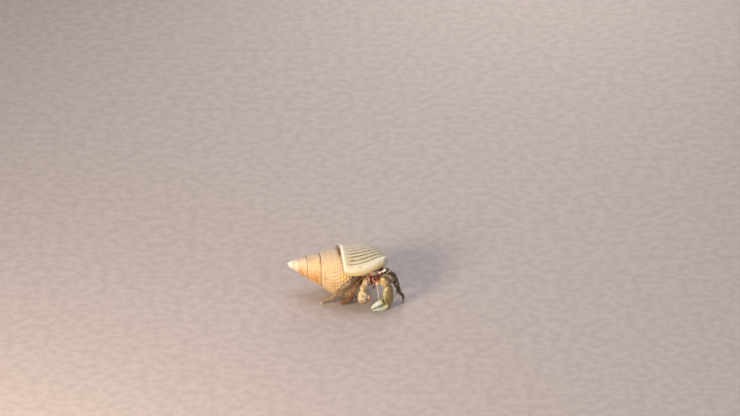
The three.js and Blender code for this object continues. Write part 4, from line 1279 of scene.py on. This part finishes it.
mouthLeg = {"spots": [(-0.4, 0.55, -1.1), (0.55, 0.75, -1.35), (1.02, 0.72, -1.95), (1.1, 0.62, -2.75),
                      (1.08, 0.52, -3.5)], "widths": (0.3, 0.34, 0.28, 0.22, 0.1), "across": 0.75,
                      "tipTone": 1.9}
mouthPalp = {"path": [(0.1, 0.95, -1.1), (0.75, 1.0, -1.25), (1.35, 0.9, -1.7)],
             "sizes": [(0, 0.13, 0.1), (0.5, 0.09, 0.08), (1, 0.03, 0.03)], "up": leftward, "rings": 26,
             "sides": 12,
             "ends": (0.08, 0.05), "patch": (0.8, 0, 0.95, 1), "shade": 0.2, "tone": 0.8}
hindLeg = {"widths": (0.3, 0.28, 0.2), "across": 0.9, "tipTone": 0.6}
hindLegs = {"4": [(-2.9, 1.3, -0.6), (-2.6, 1.9, -0.8), (-2.1, 2.2, -1.1)],
            "5": [(-3.5, 1.3, 0.2), (-3.9, 1.9, 0.5), (-3.4, 2.3, 0.9)]}


def makeMouthLeg(name, side):
    skin = jointed(mouthLeg, side, leftward, shade=lambda t, angle: 0.5 + 0.5 * math.cos(angle))
    bodyTube(mouthPalp, side, skin)
    dress(skin, camel(name, "mouth", "leg"), "mouth", "mouth", [f"{name}_maxilliped"],
          ("Brush", ("brushTuft", "paleBristle", 14.0, (0.45, 0.9), 0.35, 0.02, 81),
           lambda run, tone, shade: ease(run, 0.2, 0.6)))


def makeHindLegs(name, side):
    for number, spots in hindLegs.items():
        skin = jointed({**hindLeg, "spots": spots}, side, shade=0.3)
        dress(skin, camel(name, "hind", "leg") + number, "flesh", "leg", [f"{name}_leg_{number}"])


makeShield()
for name, side in sides.items():
    makeEye(name, side)
    makeAntennule(name, side)
    makeAntennaBase(name, side)
    makeFeeler(name, feelers[name])
    makeMouthLeg(name, side)
    makeHindLegs(name, side)
print("head and hind legs")


# The soft body inside the shell

softBody = {"front": [(0.5, 0, -0.1), (-1.4, 0, 0), (-3.2, 0, 0.25)], "inShell": range(52, 218, 12),
            "sizes": [(0, 0.75, 0.55), (0.04, 1.3, 1.05), (0.14, 1.7, 1.3), (0.24, 1.65, 1.45),
                      (0.36, 1.9, 2.05),
                      (0.5, 2.05, 2.3), (0.66, 1.6, 1.8), (0.8, 1.2, 1.35), (0.92, 0.75, 0.75),
                      (1, 0.45, 0.45)]}
tailForm = {"from": 222, "to": 241,
            "sizes": [(0, 0.4, 0.5), (0.4, 0.75, 0.5), (0.8, 0.8, 0.35), (1, 0.4, 0.2)]}


def insideShell(growth):
    scale = shellForm["Growth per Turn"] ** (-growth / 360)
    return about(scale * 21.4, scale * 5.0, growth + 6)


def makeSoftBody(s):
    def form(t, angle):  # soft folds round the abdomen
        back = ease(t, 0.28, 0.36)
        folds = 0.03 * math.cos(t * 120 + 0.6 * math.sin(angle)) * back
        return 1 + folds + 0.05 * unevenness(t, angle, 1, 10) * back
    path = [body(*spot) for spot in s["front"]] + [insideShell(growth) for growth in s["inShell"]]
    skin = Skin().tube(path, s["sizes"], shellAxis, 200, 52, (0.03, 0.02), form,
                       tone=lambda t, angle: 2.0 * (1 - ease(t, 0.04, 0.13)),
                       shade=lambda t, angle: ease(t, 0.1, 0.4) * (0.5 + 0.5 * math.sin(angle * 2)))
    dress(skin, "softBody", "flesh", "abdomen", ["thorax", "abdomen_front", "abdomen_rear"])


def makeTail(s):
    path = [insideShell(mix(s["from"], s["to"], i / 3)) for i in range(4)]
    skin = Skin().tube(path, s["sizes"], shellAxis, 40, 32, (0.08, 0.06), shade=0.5,
                       shape=lambda t, angle: 1 - 0.25 * ease(t, 0.5, 1.0) * hump(math.sin(angle), 0, 0.3))
    dress(skin, "tailFan", "flesh", "leg", ["tail_fan"])


makeSoftBody(softBody)
makeTail(tailForm)
for shape in shapes.values():
    bpy.data.objects.remove(shape)
print("soft body and tail")
